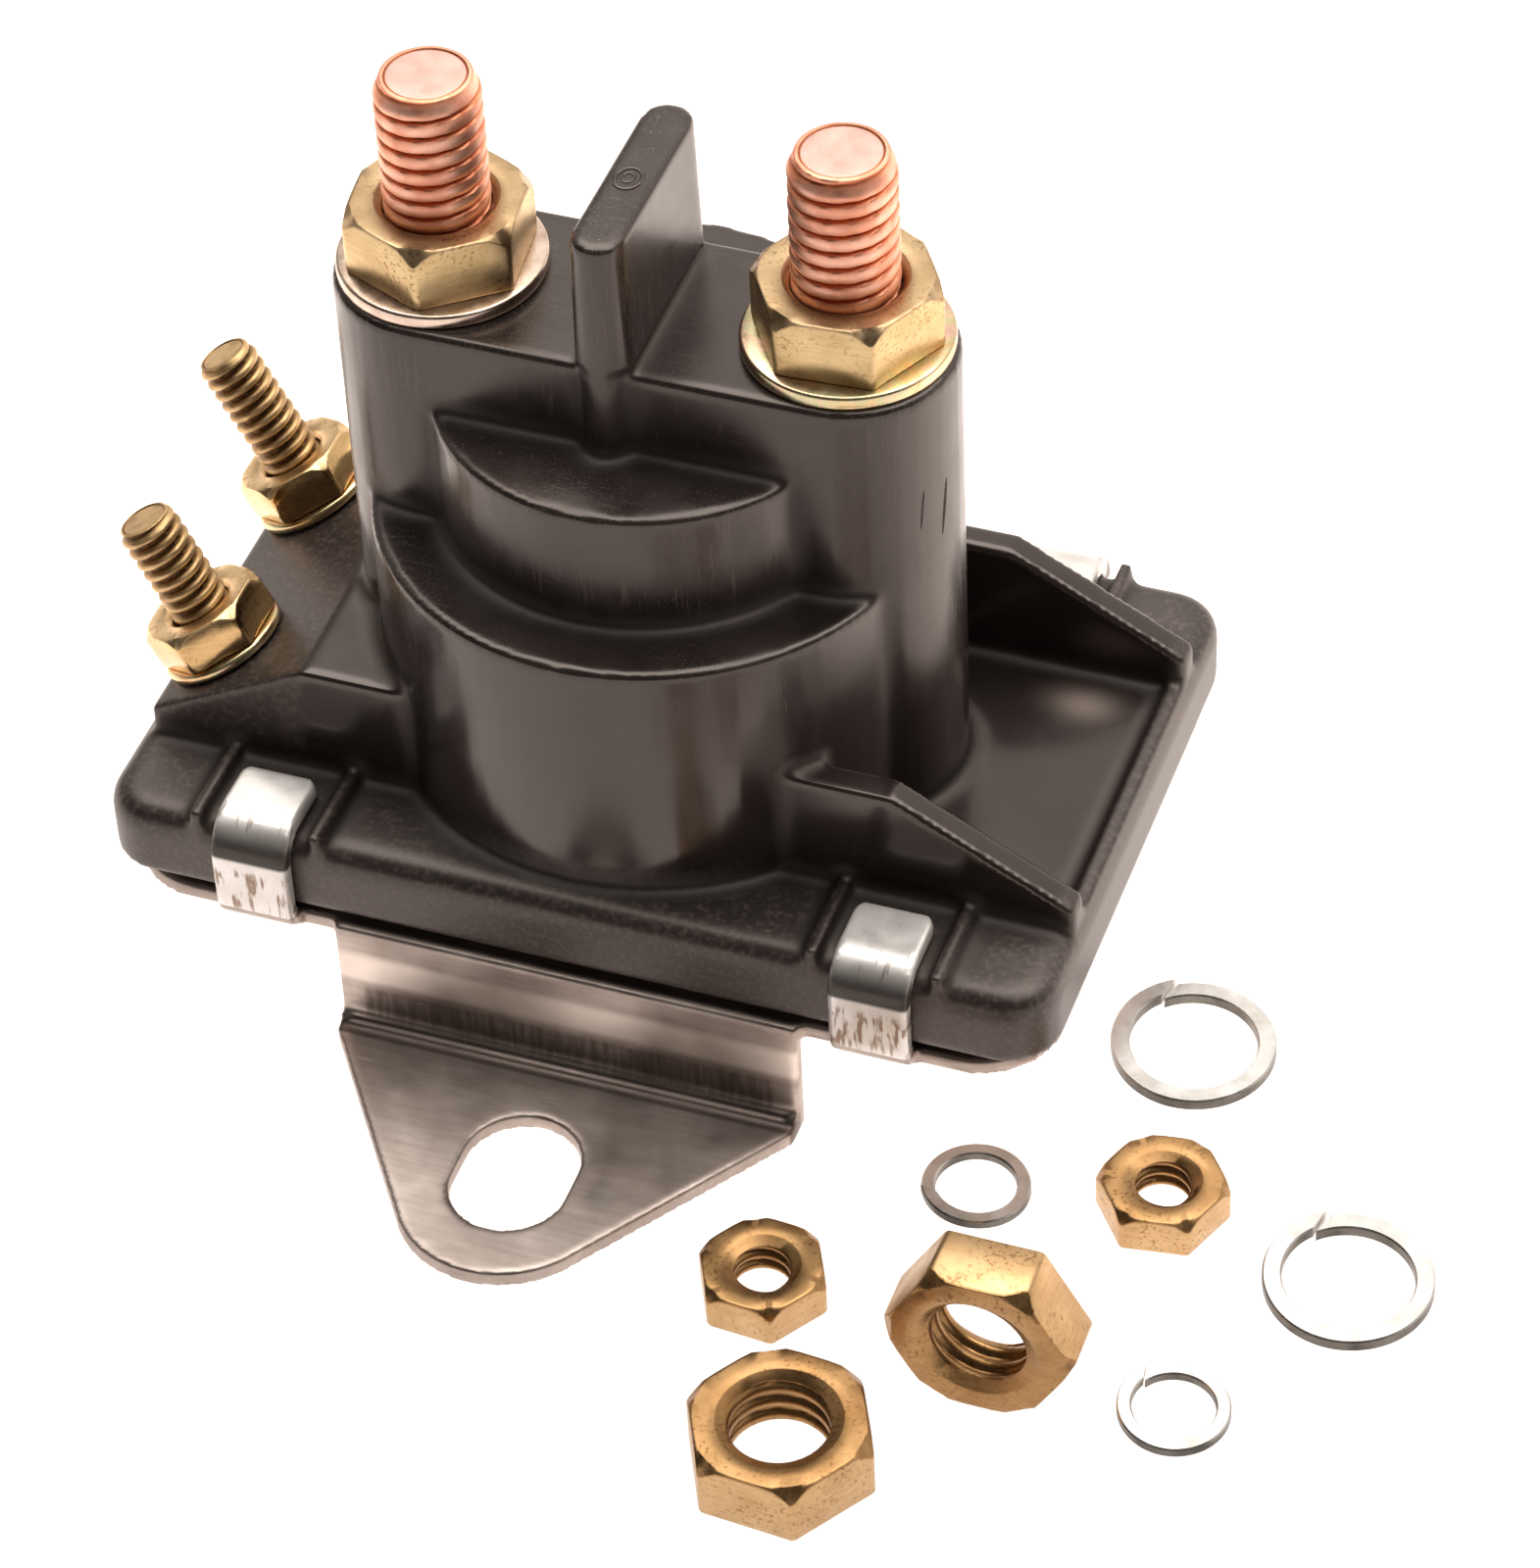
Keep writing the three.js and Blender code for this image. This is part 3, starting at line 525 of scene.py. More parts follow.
# Painted light and shade: each pair is one brass in two tones by face, ends darker than flats on jam and
# spare nuts, paler on coil nuts.
JAM_BRASS = (
    brass("jam_nut_ends", (0.56, 0.40, 0.23), (0.38, 0.25, 0.13), (0.20, 0.11, 0.045)),
    brass("jam_nut_flats", (0.74, 0.55, 0.30), (0.54, 0.37, 0.17), (0.26, 0.15, 0.06)),
)
SPARE_BRASS = (
    brass("spare_nut_ends", (0.42, 0.25, 0.11), (0.27, 0.145, 0.055), (0.13, 0.06, 0.022)),
    brass("spare_nut_flats", (0.62, 0.42, 0.22), (0.45, 0.27, 0.12), (0.24, 0.12, 0.045)),
)
COIL_BRASS = threaded_brass()
COIL_NUT_BRASS = (
    brass("coil_nut_ends", (0.84, 0.60, 0.32), (0.64, 0.43, 0.20), (0.30, 0.17, 0.07), (0.30, 0.42)),
    brass("coil_nut_flats", (0.74, 0.50, 0.24), (0.52, 0.33, 0.14), (0.27, 0.15, 0.06), (0.12, 0.24)),
)
CHROMATE = chromate()
WASHER_COPPER = plated("coppery_washer", (0.84, 0.68, 0.56), (0.56, 0.40, 0.30))
LOCK_STEEL = plated("lock_washer_plate", (0.62, 0.60, 0.575), (0.44, 0.42, 0.39), (0.26, 0.40))
# A dark copy of the lock washer plating, as painted shade on the walls and lower corners.
LOCK_EDGE = plated("lock_washer_edge", (0.17, 0.16, 0.14), (0.06, 0.055, 0.05), (0.30, 0.42))
SHEET_STEEL = bracket_steel()
TAB_PLATE = tab_silver()
RUBBER = plain("gasket_rubber", (0.03, 0.028, 0.027), (0.014, 0.013, 0.013), 0.7)
ZINC = plated("zinc_plate", (0.78, 0.78, 0.76), (0.55, 0.55, 0.55))
IRON = plain("turned_iron", (0.36, 0.35, 0.34), (0.24, 0.23, 0.22), 0.42, 500, 1.0)
NYLON = plain("bobbin_nylon", (0.70, 0.60, 0.44), (0.58, 0.48, 0.34), 0.5)
ENAMEL = plain("enamelled_wire", (0.62, 0.22, 0.09), (0.38, 0.11, 0.05), 0.28, 900, 0.8)
SPRING = plain("spring_steel", (0.5, 0.5, 0.51), (0.3, 0.3, 0.31), 0.3, 700, 1.0)


# ---------- skins: a moulded or pressed surface drawn over a CAD solid ----------
def skin(name, node, material, finish, shape):
    """Remesh a copy of a CAD solid finely and relax it, so that its edges take a small moulded radius."""
    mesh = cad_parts[node].data.copy()
    mesh.name = name
    piece = link(bpy.data.objects.new(name, mesh))
    remesh = piece.modifiers.new("remesh", "REMESH")
    remesh.mode = "VOXEL"
    remesh.voxel_size = finish["voxel"] * MM
    remesh.use_smooth_shade = True
    relax = piece.modifiers.new("relax", "SMOOTH")
    relax.factor = 0.5
    relax.iterations = finish["passes"]
    bpy.context.view_layer.update()
    finished = bpy.data.meshes.new_from_object(piece.evaluated_get(bpy.context.evaluated_depsgraph_get()))
    piece.modifiers.clear()
    piece.data = finished
    for vertex in finished.vertices:
        vertex.co = Vector(shape(*(vertex.co / MM))) * MM
    set_materials(finished, material)
    for face in finished.polygons:
        face.use_smooth = True
    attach(piece, "root")
    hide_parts(node)
    return piece


def paint(piece, name, level_at):
    """Store a level from 0 to 1 on every vertex, for the material to read."""
    layer = piece.data.attributes.new(name, "FLOAT", "POINT")
    layer.data.foreach_set("value", [level_at(*(vertex.co / MM)) for vertex in piece.data.vertices])


def paint_hollows(piece, voxel):
    """Store how strongly the surface is hollowed, so that inside corners stay dull and take painted shade."""
    mesh = piece.data
    count = len(mesh.vertices)
    places = np.empty(count * 3)
    normals = np.empty(count * 3)
    edges = np.empty(len(mesh.edges) * 2, dtype=np.int64)
    mesh.vertices.foreach_get("co", places)
    mesh.vertices.foreach_get("normal", normals)
    mesh.edges.foreach_get("vertices", edges)
    places = places.reshape(-1, 3)
    normals = normals.reshape(-1, 3)
    first = np.concatenate([edges[0::2], edges[1::2]])
    second = np.concatenate([edges[1::2], edges[0::2]])
    degree = np.maximum(np.bincount(first, minlength=count), 1)

    def average(values):
        return np.bincount(first, weights=values[second], minlength=count) / degree

    rise = sum((average(places[:, k]) - places[:, k]) * normals[:, k] for k in range(3)) / MM
    level = np.clip(rise / (voxel * voxel / HOLLOW["radius"]) * HOLLOW["gain"], 0, 1)
    for _ in range(HOLLOW["steps"]):
        level = np.maximum(level, np.clip(HOLLOW["spread"] * average(level), 0, 1))
    layer = mesh.attributes.new("hollow", "FLOAT", "POINT")
    layer.data.foreach_set("value", level)


def housing_shape(x, y, z):
    """Draft on the barrier fin and a slight sag in the pocket floor, as moulding leaves them."""
    inside_fin = abs(x) < FIN_DRAFT["half"] and FIN_FRONT - 1 < y < FIN_BACK + 1
    if inside_fin and z > TOWER_TOP + FIN_DRAFT["above"]:
        depth = (FIN_TOP - z) / (FIN_TOP - TOWER_TOP)
        x *= FIN_DRAFT["wider"] + FIN_DRAFT["taper"] * max(0.0, depth)
    if abs(z - POCKET_FLOOR) < SINK["near"]:
        z -= SINK["depth"] * spot(x, y, SINK)
    return x, y, z


# ---------- threads ----------
def thread_height(phase, crest):
    """0 in the root and 1 in the middle of the slightly domed crest, which takes a share of the pitch."""
    u = phase % 1.0
    middle = crest / 2
    if u < crest:
        return 1.0 - THREAD["dome"] * ((u - middle) / middle) ** 2
    shoulder = 1.0 - THREAD["dome"]
    root = crest + THREAD["root"] * (1 - crest)
    rise = crest + THREAD["rise"] * (1 - crest)
    if u < root:
        return shoulder * (1.0 - smoothstep(crest, root, u))
    if u < rise:
        return 0.0
    return shoulder * smoothstep(rise, 1.0, u)


def thread_row(spec, z, end, angles):
    """One ring of a threaded stud, and how high each of its points stands in the thread."""
    grow = smoothstep(0.0, 1.0, (z - spec["thread_from"]) / spec["pitch"])
    envelope = spec["tip"] + (spec["radius"] - spec["tip"]) * smoothstep(0.0, spec["taper"], end - z)
    depth = max(THREAD["shallowest"], envelope - spec["root"])
    row = []
    heights = []
    for a in angles:
        height = thread_height(z / spec["pitch"] - a / (2 * math.pi), spec["crest"])
        wobble = THREAD["wobble"] * noise.noise(Vector((math.cos(a) * 3, math.sin(a) * 3, z * 1.3)))
        radius = envelope - (1 - height) * grow * depth + wobble
        row.append((radius * math.cos(a), radius * math.sin(a), z))
        heights.append(height)
    return row, heights


def stud(name, spec, matrix, looks, node, longer=0.0):
    """A headed stud with a helical thread, in a thread look and an end look."""
    low, high, head = spec["head"]
    end = spec["top"] + longer
    tip = spec["tip"]
    count = spec["turns"]
    angles = [2 * math.pi * j / count for j in range(count)]
    rows = []
    heights = []

    def flat_row(radius, z, height=1.0):
        rows.append([(radius * math.cos(a), radius * math.sin(a), z) for a in angles])
        heights.append([height] * count)

    flat_row(head - STUD_EDGE, low)
    flat_row(head, low + STUD_EDGE)
    flat_row(head, high - STUD_EDGE)
    flat_row(head - STUD_EDGE, high)
    flat_row(spec["radius"], high)
    flat_row(spec["radius"], spec["thread_from"])
    z = spec["thread_from"] + spec["step"]
    while z < end - STUD_LIP:
        row, level = thread_row(spec, z, end, angles)
        rows.append(row)
        heights.append(level)
        z += spec["step"]

    # The rim, a shallow turned groove inside it, and the flat end face. Their low groove levels give the rim,
    # and most of all the turned groove, painted shade in the thread look.
    rim = ((tip - 0.04, 0.06, 0.8), (tip - 0.14, 0.0, 0.9), (tip * 0.90, 0.0, 0.9))
    groove = ((tip * 0.87, 0.10, 0.1), (tip * 0.84, 0.07, 0.5))
    for radius, below, height in rim + groove:
        flat_row(radius, end - below, height)
    end_from = (len(rows) - 1) * count
    for share in (0.8, 0.6, 0.4, 0.2, 0.05):
        flat_row(tip * share, end - 0.05)

    points, faces = revolve(rows, closed=False)
    piece = object_from(name, place(points, matrix), faces, looks, "root", [node])
    # The groove level of each point, which the thread looks turn into painted shade towards the roots.
    layer = piece.data.attributes.new("groove", "FLOAT", "POINT")
    layer.data.foreach_set("value", [value for level in heights for value in level])
    for face in piece.data.polygons:
        if min(face.vertices) >= end_from:
            face.material_index = 1


# ---------- nuts ----------
FLAT_RINGS = (2, 5)  # the rings of a nut between which its flats lie
HEX_STOPS = (-30.0, -29.0, -27.5, -25.0, -19.0, -10.0, 0.0, 10.0, 19.0, 25.0, 27.5, 29.0)


def nut(name, spec, matrix, looks, node, body, internal_thread):
    """A hexagon nut with chamfered corners, in a look for its ends and one for its flats: one brass in two
    tones, as painted light and shade.
    """
    across = spec["across"]
    top = spec["height"]
    bore = spec["bore"]
    crown = spec["crown"]
    mouth = bore + spec["sink"]
    corner = across / math.sqrt(3)
    angles = [math.radians(30 + 60 * side + stop) for side in range(6) for stop in HEX_STOPS]
    flats = []
    for side in range(6):
        for stop in HEX_STOPS:
            flats.append(min(across / 2 / math.cos(math.radians(stop)), corner - NUT_CORNER_ROUND))

    def row(radius_of, z_of):
        ring = []
        for a, flat in zip(angles, flats):
            radius = radius_of(flat) if callable(radius_of) else radius_of
            z = z_of(flat) if callable(z_of) else z_of
            ring.append((radius * math.cos(a), radius * math.sin(a), z))
        return ring

    def fall(flat):
        return max(0.0, flat - crown) * CORNER_SLOPE

    # From the mouth of the bore out over the bottom edge, up the flats, over the chamfer and back in.
    rows = [
        row(mouth, 0.0),
        row(lambda flat: flat - NUT_EDGE, 0.0),
        row(lambda flat: flat - NUT_EDGE_MIDDLE, NUT_EDGE_MIDDLE),
        row(lambda flat: flat, NUT_EDGE),
        row(lambda flat: flat, top * 0.45),
        row(lambda flat: flat, lambda flat: top - fall(flat) - 0.2),
        row(lambda flat: flat - NUT_EDGE_MIDDLE, lambda flat: top - fall(flat) - 0.06),
        row(lambda flat: min(flat, crown) - 0.12, lambda flat: top - 0.015 - 0.25 * fall(flat)),
        row(lambda flat: min(flat, crown) - 0.28, top),
        row((mouth + across / 2) / 2, top),
        row(mouth + NUT_EDGE_MIDDLE, top),
        row(mouth - NUT_EDGE_MIDDLE, top - NUT_EDGE_MIDDLE),
    ]
    if internal_thread:
        length = top - 2 * spec["sink"]
        steps = int(length / NUT_THREAD["step"])
        for i in range(steps + 1):
            z = top - spec["sink"] - i * length / steps
            ring = []
            for a in angles:
                height = thread_height(z / spec["pitch"] - a / (2 * math.pi), NUT_THREAD["crest"])
                radius = bore - NUT_THREAD["depth"] * height
                ring.append((radius * math.cos(a), radius * math.sin(a), z))
            rows.append(ring)
    else:
        rows.append(row(bore, top - spec["sink"]))
        rows.append(row(bore, spec["sink"]))
    points, faces = revolve(rows, closed=True)
    piece = object_from(name, place(points, matrix), faces, looks, body, [node], creases=28.0)
    flats_from, flats_to = FLAT_RINGS
    for index in range(flats_from * len(angles), flats_to * len(angles)):
        piece.data.polygons[index].material_index = 1


# ---------- washers ----------
def washer(name, size, base, matrix, look, node):
    """A flat washer with rounded edges, lying a little above a base height."""
    inner = size["inner"]
    outer = size["outer"]
    low = base + size["low"]
    high = base + size["high"]
    count = 96
    angles = [2 * math.pi * j / count for j in range(count)]
    soft = min(0.25, (high - low) * 0.35)
    part = soft * 0.3
    profile = [
        (inner, low + soft), (inner + part, low + part), (inner + soft, low),
        (outer - soft, low), (outer - part, low + part), (outer, low + soft),
        (outer, high - soft), (outer - part, high - part), (outer - soft, high),
        (inner + soft, high), (inner + part, high - part), (inner, high - soft),
    ]
    rows = []
    for radius, z in profile:
        rows.append([(radius * math.cos(a), radius * math.sin(a), z) for a in angles])
    points, faces = revolve(rows, closed=True)
    object_from(name, place(points, matrix), faces, look, "root", [node], creases=50.0)


def lock_washer(node, size, centre, turn):
    """One turn of flat wire cut across at a slant, with one end sprung up a little."""
    inner = size["inner"]
    outer = size["outer"]
    height = size["height"]
    steps = 96
    slant = 0.30
    gap = 0.05
    soft = 0.12
    section = [
        (inner, soft), (inner + soft, 0), (outer - soft, 0), (outer, soft),
        (outer, height - soft), (outer - soft, height), (inner + soft, height), (inner, height - soft),
    ]
    # Painted shade: these faces take the dark copy of the plating.
    dark_sides = (0, 2, 3, 7)  # the two walls and the two lower corners of the section
    rows = []
    for i in range(steps + 1):
        t = i / steps
        rise = size["lift"] * (1 - smoothstep(0.0, 0.4, t))
        near_end = max(1 - smoothstep(0.0, 0.06, t), smoothstep(0.94, 1.0, t))
        row = []
        for radius, z in section:
            across = (radius - inner) / (outer - inner)
            a = gap / 2 + (2 * math.pi - gap) * t - slant * across * near_end
            row.append((radius * math.cos(a), radius * math.sin(a), z + rise))
        rows.append(row)
    points, faces = revolve(rows, closed=False)
    faces = [face[::-1] for face in faces]
    piece = object_from(
        f"{node}_detail", place(points, resting(centre, GROUND, turn)), faces, (LOCK_STEEL, LOCK_EDGE),
        "loose_hardware", [node], creases=40.0,
    )
    for index in range(steps * len(section)):
        if index % len(section) in dark_sides:
            piece.data.polygons[index].material_index = 1


# ---------- housing ----------
def pocket_highlight_level(x, y, z):
    """The level of one painted highlight on the pocket floor: a soft spot that the plastic mixes lighter and
    rougher.
    """
    if abs(z - POCKET_FLOOR) > POCKET_HIGHLIGHT["near"]:
        return 0.0
    return POCKET_HIGHLIGHT["level"] * spot(x, y, POCKET_HIGHLIGHT)


def matt_level(x, y, z):
    """The flange, its pads and the coil slopes are matt; the pockets and the tower foot stay glossy."""
    slope = 1 - smoothstep(*MATT["slope"], x)
    flange = smoothstep(*MATT["flange"], abs(y)) * (1 - smoothstep(*MATT["tower"], z))
    side = smoothstep(*MATT["side"], x)
    return max(slope, flange, side)


def build_housing():
    piece = skin("housing_moulding", "housing", PLASTIC, HOUSING_SKIN, housing_shape)
    paint_hollows(piece, HOUSING_SKIN["voxel"])
    paint(piece, "pocket_highlight", pocket_highlight_level)
    paint(piece, "matt", matt_level)
    witness_marks()


def loop_mark(name, centre, radii, tube):
    """A shallow oval witness mark on top of the fin, as an ejector pin or a gate leaves in the moulding."""
    around = 48
    sides = 8
    flatten = 0.8
    rows = []
    for j in range(around):
        a = 2 * math.pi * j / around
        row = []
        for k in range(sides):
            b = 2 * math.pi * k / sides
            reach = 1 + tube * math.cos(b) / min(radii)
            row.append((
                centre[0] + radii[0] * reach * math.cos(a),
                centre[1] + radii[1] * reach * math.sin(a),
                FIN_MARK_Z + tube * flatten * math.sin(b),
            ))
        rows.append(row)
    points, faces = revolve(rows, closed=True)
    object_from(name, points, [face[::-1] for face in faces], PLASTIC, "root")


def flash_line(name, foot, tip):
    """A thin upright sliver of flash on the side of the right terminal boss."""
    foot = Vector(foot)
    tip = Vector(tip)
    rows = []
    for i in range(FLASH["steps"] + 1):
        t = i / FLASH["steps"]
        spine = foot.lerp(tip, t)
        outward = Vector((spine.x - TERMINAL_X, spine.y, 0)).normalized()
        sideways = Vector((-outward.y, outward.x, 0))
        swell = math.sin(math.pi * (0.05 + 0.9 * t))
        seat = spine - outward * FLASH["seat"]
        crest = spine + outward * (FLASH["proud"] * swell)
        foot_edge = sideways * (FLASH["half"] * swell)
        crest_edge = sideways * FLASH["crest"]
        row = [seat - foot_edge, seat + foot_edge, crest + crest_edge, crest - crest_edge]
        rows.append([tuple(point) for point in row])
    points, faces = revolve(rows, closed=False)
    object_from(name, points, faces, PLASTIC, "root")


def witness_marks():
    for line in FLASH_LINES:
        flash_line(*line)
    for mark in FIN_MARKS:
        loop_mark(*mark)


# ---------- bracket ----------
def tab_corners(x, y, z):
    """Round off the two corners at the free end of each clamped tab."""
    along = abs(y) - TAB["inner"]
    aside = abs(x) - TAB["x"]
    outside_tab = z < TAB["above"] or abs(aside) > TAB["half"] + NEAR_EDGE
    if outside_tab or not -NEAR_EDGE < along < TAB["corner"]:
        return x, y, z
    reach = TAB["corner"] - max(0.0, along)
    cut = TAB["corner"] - math.sqrt(TAB["corner"] ** 2 - reach ** 2)
    aside *= (TAB["half"] - cut) / TAB["half"]
    return math.copysign(TAB["x"] + aside, x), y, z


def bend_radius(x, y, z):
    """Give the bend between each leg and its ear a pressed radius."""
    side = 1 if y > 0 else -1
    out = abs(y)
    if abs(x) > LEG_HALF + EAR_ROOM or z > PLATE_TOP + NEAR_EDGE:
        return x, y, z
    along_leg = z - EAR_TOP
    along_ear = out - LEG_FACE
    if abs(along_ear) < NEAR_FLAT and 0 <= along_leg < EAR_BEND:
        turn = math.pi / 4 * (1 - along_leg / EAR_BEND)
        out = out + EAR_BEND * (1 - math.cos(turn))
        z = EAR_TOP + EAR_BEND * (1 - math.sin(turn))
    elif abs(along_leg) < NEAR_FLAT and 0 <= along_ear < EAR_BEND:
        turn = math.pi / 4 * (1 - along_ear / EAR_BEND)
        z = z + EAR_BEND * (1 - math.cos(turn))
        out = LEG_FACE + EAR_BEND * (1 - math.sin(turn))
    return x, side * out, z


def pressed_shape(x, y, z):
    return bend_radius(*tab_corners(x, y, z))


def outside(y):
    """1 on the outer faces of the legs and tabs, and 0 further in."""
    return smoothstep(*OUTSIDE, abs(y))


def within(z, low, low_full, high_full, high):
    """1 between the two middle heights and 0 beyond the outer two."""
    return smoothstep(low, low_full, z) * (1 - smoothstep(high_full, high, z))


BRACKET_MARKS = {
    "band": lambda x, y, z: BAND_LEVEL * outside(y) * within(z, *BAND),
    "smear": lambda x, y, z: outside(y) * within(z, *SMEAR),
    "cracked": lambda x, y, z: smoothstep(*CRACKED_OUT, abs(y)) * smoothstep(*CRACKED_UP, z),
    "bright": lambda x, y, z: outside(y) * within(z, *LEG_HIGHLIGHT),
    "shaded": lambda x, y, z: outside(y) * (1 - smoothstep(*SHADED_UP, z)) * (abs(y) < SHADED_REACH),
    "pressed": lambda x, y, z: outside(y) * within(z, *LOW_LEG_BAND) * (abs(x) < LOW_LEG_BAND_HALF),
}


def build_bracket():
    looks = (SHEET_STEEL, TAB_PLATE)
    piece = skin("bracket_pressing", "base_bracket", looks, BRACKET_SKIN, pressed_shape)
    for face in piece.data.polygons:
        if face.center.z > TAB_LOOK_FROM * MM:
            face.material_index = 1
    for name, level_at in BRACKET_MARKS.items():
        paint(piece, name, level_at)


# ---------- terminals and loose fasteners ----------
def build_main_terminals():
    for name, side, turn, ring_look, slot in (
        ("left", -1, 37, WASHER_COPPER, "washer_copper"), ("right", 1, 3, CHROMATE, "washer_chromate"),
    ):
        x = side * TERMINAL_X
        upright = Matrix.Translation((x, 0, 0))
        turned = upright @ Matrix.Rotation(side * THREAD_START, 4, "Z")
        seat = resting((x, 0), TOWER_TOP + MAIN_NUT["seat"], turn)
        stud(f"power_stud_{name}", MAIN, turned, (COPPER, STUD_END), f"main_stud_{name}")
        ring = f"main_washer_{name}"
        washer(f"power_washer_{name}", MAIN_WASHER, TOWER_TOP, upright, ring_look, ring)
        nut(f"jam_nut_{name}", MAIN_NUT, seat, JAM_BRASS, f"main_nut_{name}", "root", False)


def slope_frame(y):
    """The coil terminals' own frame, standing square on the sloped pad."""
    return Matrix.Translation((SLOPE_X, y, SLOPE_SEAT_Z)) @ Matrix.Rotation(-SLOPE, 4, "Y")


def build_coil_terminals():
    for name, side, turn, lean, longer in (
        ("front", -1, 32, FRONT_STUD_LEAN, 0.0), ("rear", 1, 30, 0.0, REAR_STUD_LONGER),
    ):
        upright = slope_frame(side * COIL_Y)
        bent = upright @ Matrix.Rotation(lean, 4, "Y")
        seat = upright @ resting((0, 0), COIL_NUT["seat"], turn)
        looks = (COIL_BRASS, COIL_BRASS)
        stud(f"coil_screw_{name}", COIL, bent, looks, f"coil_stud_{name}", longer)
        ring = f"coil_washer_{name}"
        washer(f"coil_ring_{name}", COIL_WASHER, 0.0, upright, CHROMATE, ring)
        node = f"coil_nut_{name}"
        nut(f"coil_jam_{name}", COIL_NUT, seat, COIL_NUT_BRASS, node, "root", False)


def spare_nut(node, spec, matrix):
    nut(f"{node}_detail", spec, matrix, SPARE_BRASS, node, "loose_hardware", True)


def build_loose_hardware():
    for node, spec, centre, turn in LOOSE_NUTS:
        spare_nut(node, spec, resting(centre, GROUND, turn))
    standing = resting(STANDING_NUT, GROUND + MAIN_NUT["across"] / 2, 0)
    spare_nut("spare_main_nut_standing", MAIN_NUT, standing @ Matrix.Rotation(math.pi / 2, 4, "X"))
    for washer_place in LOOSE_LOCK_WASHERS:
        lock_washer(*washer_place)


def dress_inner_nodes():
    """The CAD nodes that stay as they are get a better material."""
    looks = {
        "gasket": RUBBER, "yoke_can": ZINC, "fixed_core": IRON, "coil_bobbin": NYLON,
        "coil_winding": ENAMEL, "coil_lead_front": ENAMEL, "coil_lead_rear": ENAMEL,
        "guide_sleeve": COIL_BRASS, "return_spring": SPRING, "contact_spring": SPRING,
        "plunger": IRON, "plunger_rod": ZINC, "spring_seat": ZINC,
        "insulating_bush": NYLON, "contact_bar": COPPER, "retaining_clip": SPRING,
    }
    for node, look in looks.items():
        set_materials(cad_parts[node].data, look)


# ---------- stage, light and camera ----------
def glowing_floor():
    """A pale floor that glows by itself, a little warmer and brighter towards the back."""
    material = bpy.data.materials.new("pale_floor")
    material.use_nodes = True
    tree = material.node_tree
    shader = tree.nodes["Principled BSDF"]
    shader.inputs["Base Color"].default_value = (0.10, 0.10, 0.10, 1)
    shader.inputs["Roughness"].default_value = 1.0
    shader.inputs["Specular IOR Level"].default_value = 0.0
    shader.inputs["Emission Strength"].default_value = 1.0
    coordinates = tree.nodes.new("ShaderNodeTexCoord")
    split = tree.nodes.new("ShaderNodeSeparateXYZ")
    span = tree.nodes.new("ShaderNodeMapRange")
    span.inputs["From Min"].default_value = FLOOR_FADE[0] * MM
    span.inputs["From Max"].default_value = FLOOR_FADE[1] * MM
    ramp = tree.nodes.new("ShaderNodeMix")
    ramp.data_type = "RGBA"
    colours = [socket for socket in ramp.inputs if socket.type == "RGBA"]
    colours[0].default_value = FLOOR_FRONT
    colours[1].default_value = FLOOR_BACK
    tree.links.new(coordinates.outputs["Object"], split.inputs["Vector"])
    tree.links.new(split.outputs["Y"], span.inputs["Value"])
    tree.links.new(span.outputs["Result"], ramp.inputs["Factor"])
    glow = next(socket for socket in ramp.outputs if socket.type == "RGBA")
    tree.links.new(glow, shader.inputs["Emission Color"])
    return material


def build_stage():
    half = FLOOR_HALF
    corners = [(-half, -half, GROUND), (half, -half, GROUND), (half, half, GROUND), (-half, half, GROUND)]
    mesh = mesh_from("floor", corners, [(0, 1, 2, 3)])
    set_materials(mesh, glowing_floor())
    link(bpy.data.objects.new("floor", mesh))


def overhead_softbox():
    data = bpy.data.lights.new("overhead", "AREA")
    data.shape = "RECTANGLE"
    data.size = OVERHEAD["width"]
    data.size_y = OVERHEAD["depth"]
    data.energy = OVERHEAD["watts"]
    data.color = OVERHEAD["colour"]
    lamp = link(bpy.data.objects.new("overhead", data))
    lamp.location = OVERHEAD["at"]
    direction = Vector(OVERHEAD["aim"]) - Vector(OVERHEAD["at"])
    lamp.rotation_euler = direction.to_track_quat("-Z", "Y").to_euler()


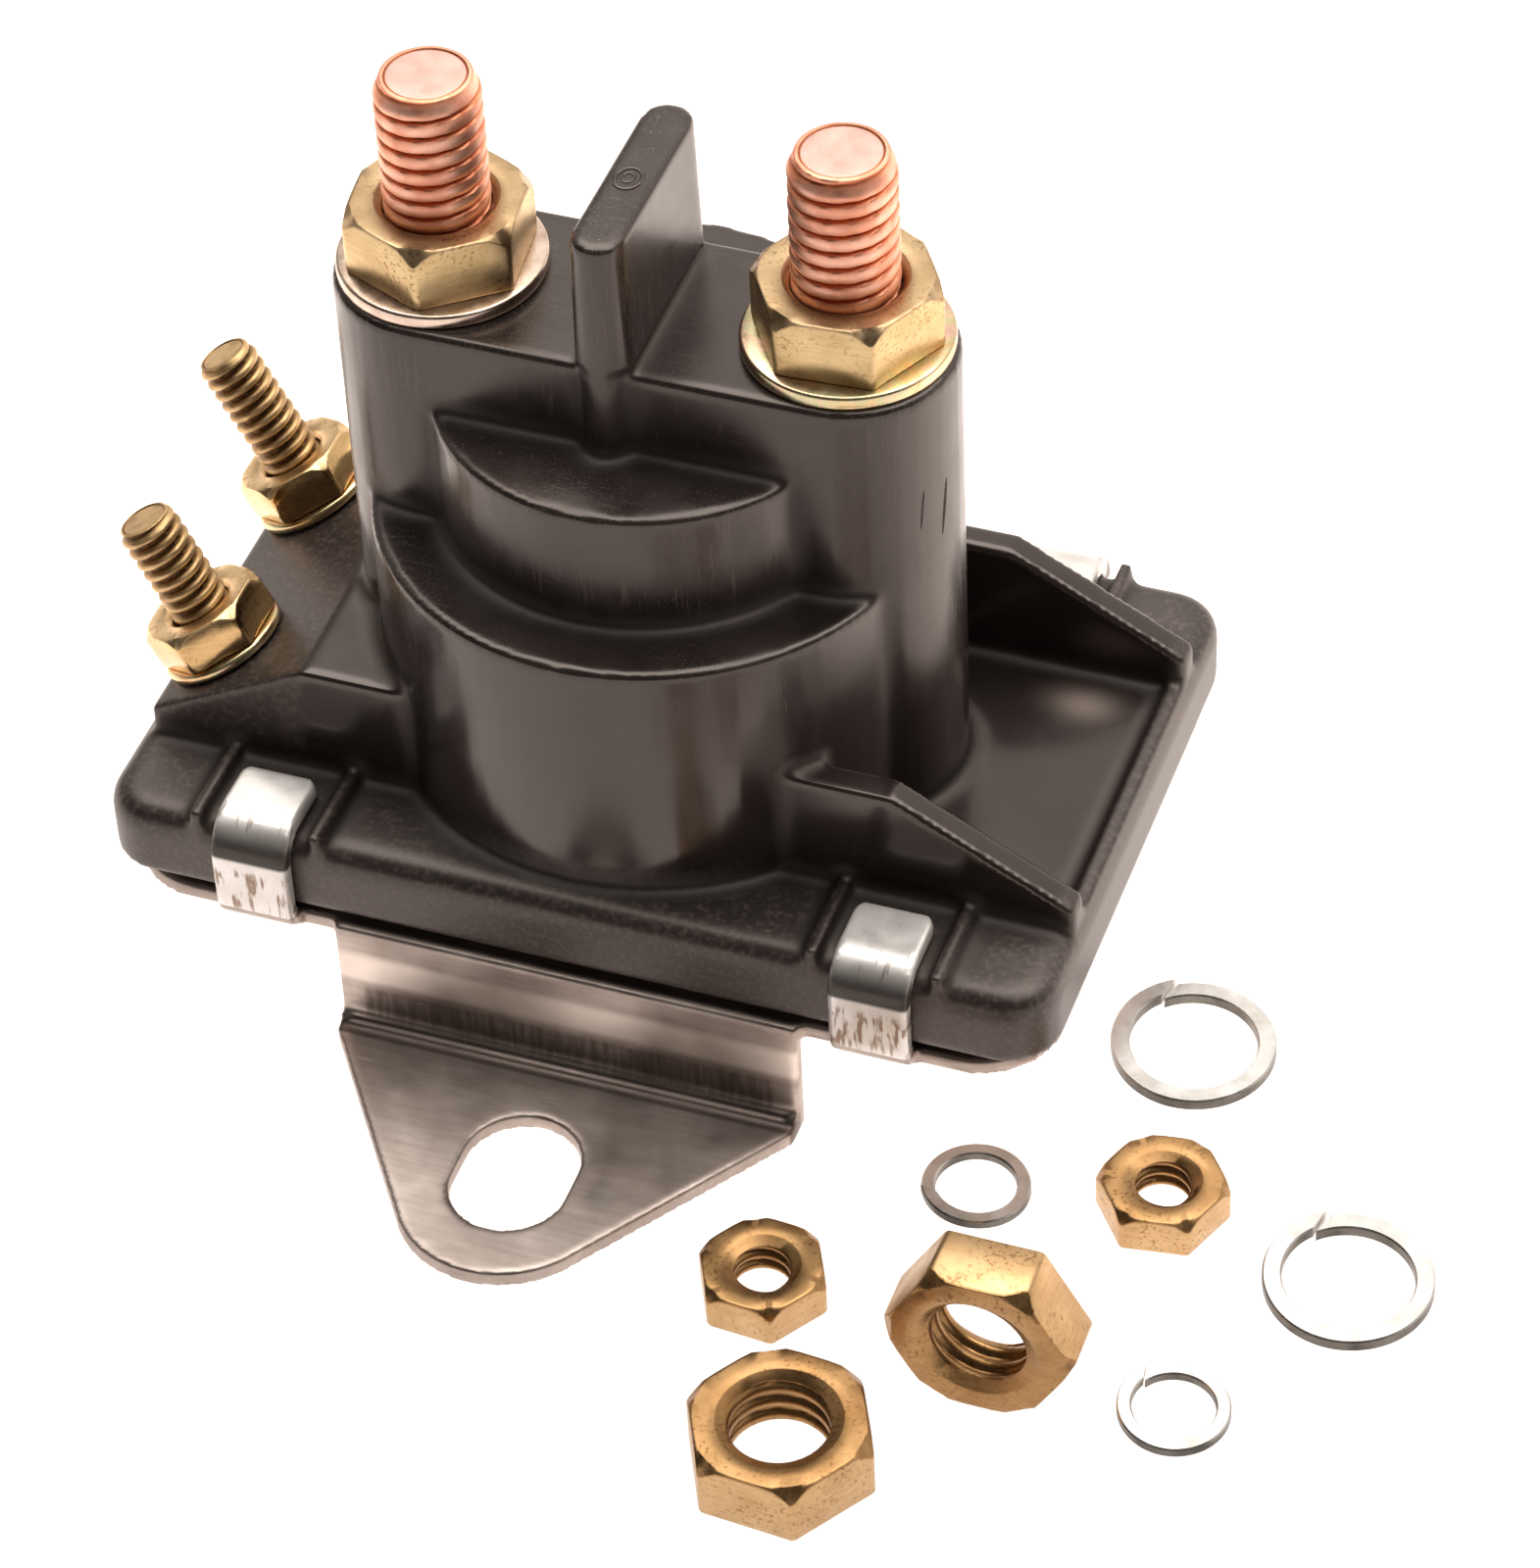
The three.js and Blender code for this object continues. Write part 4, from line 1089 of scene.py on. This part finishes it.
def tent_world():
    """A light tent: bright behind, dim in front, and darker on the left."""
    world = bpy.data.worlds.new("tent")
    world.use_nodes = True
    tree = world.node_tree
    background = tree.nodes["Background"]
    background.inputs["Strength"].default_value = TENT_STRENGTH
    coordinates = tree.nodes.new("ShaderNodeTexCoord")
    split = tree.nodes.new("ShaderNodeSeparateXYZ")
    span = tree.nodes.new("ShaderNodeMapRange")
    span.inputs["From Min"].default_value = -1.0
    span.inputs["From Max"].default_value = 1.0
    ramp = tree.nodes.new("ShaderNodeValToRGB")
    elements = ramp.color_ramp.elements
    while len(elements) < len(TENT):
        elements.new(0.5)
    for element, (position, level) in zip(elements, TENT):
        element.position = (position + 1) / 2
        element.color = (*(level * tint for tint in TENT_TINT), 1)
    side = tree.nodes.new("ShaderNodeMapRange")
    side.interpolation_type = "SMOOTHSTEP"
    side.inputs["From Min"].default_value = TENT_LEFT_FADE[0]
    side.inputs["From Max"].default_value = TENT_LEFT_FADE[1]
    side.inputs["To Min"].default_value = TENT_LEFT
    shade = tree.nodes.new("ShaderNodeVectorMath")
    shade.operation = "SCALE"
    for output, socket in (
        (coordinates.outputs["Generated"], split.inputs["Vector"]),
        (split.outputs["Y"], span.inputs["Value"]),
        (span.outputs["Result"], ramp.inputs["Fac"]),
        (ramp.outputs["Color"], shade.inputs["Vector"]),
        (split.outputs["X"], side.inputs["Value"]),
        (side.outputs["Result"], shade.inputs["Scale"]),
        (shade.outputs["Vector"], background.inputs["Color"]),
    ):
        tree.links.new(output, socket)
    bpy.context.scene.world = world


def build_lights():
    tent_world()
    overhead_softbox()


def build_camera():
    azimuth = CAMERA["azimuth"]
    elevation = CAMERA["elevation"]
    level_reach = math.cos(elevation)
    back = Vector((math.sin(azimuth) * level_reach, -math.cos(azimuth) * level_reach, math.sin(elevation)))
    level = Vector((math.cos(azimuth), math.sin(azimuth), 0))
    upward = back.cross(level)
    roll = CAMERA["roll"]
    right = level * math.cos(roll) + upward * math.sin(roll)
    up = upward * math.cos(roll) - level * math.sin(roll)
    aim = Vector((0, 0, TOWER_TOP)) + CAMERA["aim"][0] * right + CAMERA["aim"][1] * up
    data = bpy.data.cameras.new("camera")
    data.lens = CAMERA["lens"]
    data.sensor_width = CAMERA["sensor"]
    data.clip_start, data.clip_end = CAMERA["clip"]
    camera = link(bpy.data.objects.new("camera", data))
    rotation = Matrix((right, up, back)).transposed().to_4x4()
    camera.matrix_world = Matrix.Translation((aim + CAMERA["distance"] * back) * MM) @ rotation
    bpy.context.scene.camera = camera


build_camera()
build_stage()
build_lights()
build_housing()
build_bracket()
build_main_terminals()
build_coil_terminals()
build_loose_hardware()
dress_inner_nodes()
bpy.context.scene.view_settings.view_transform = "Standard"
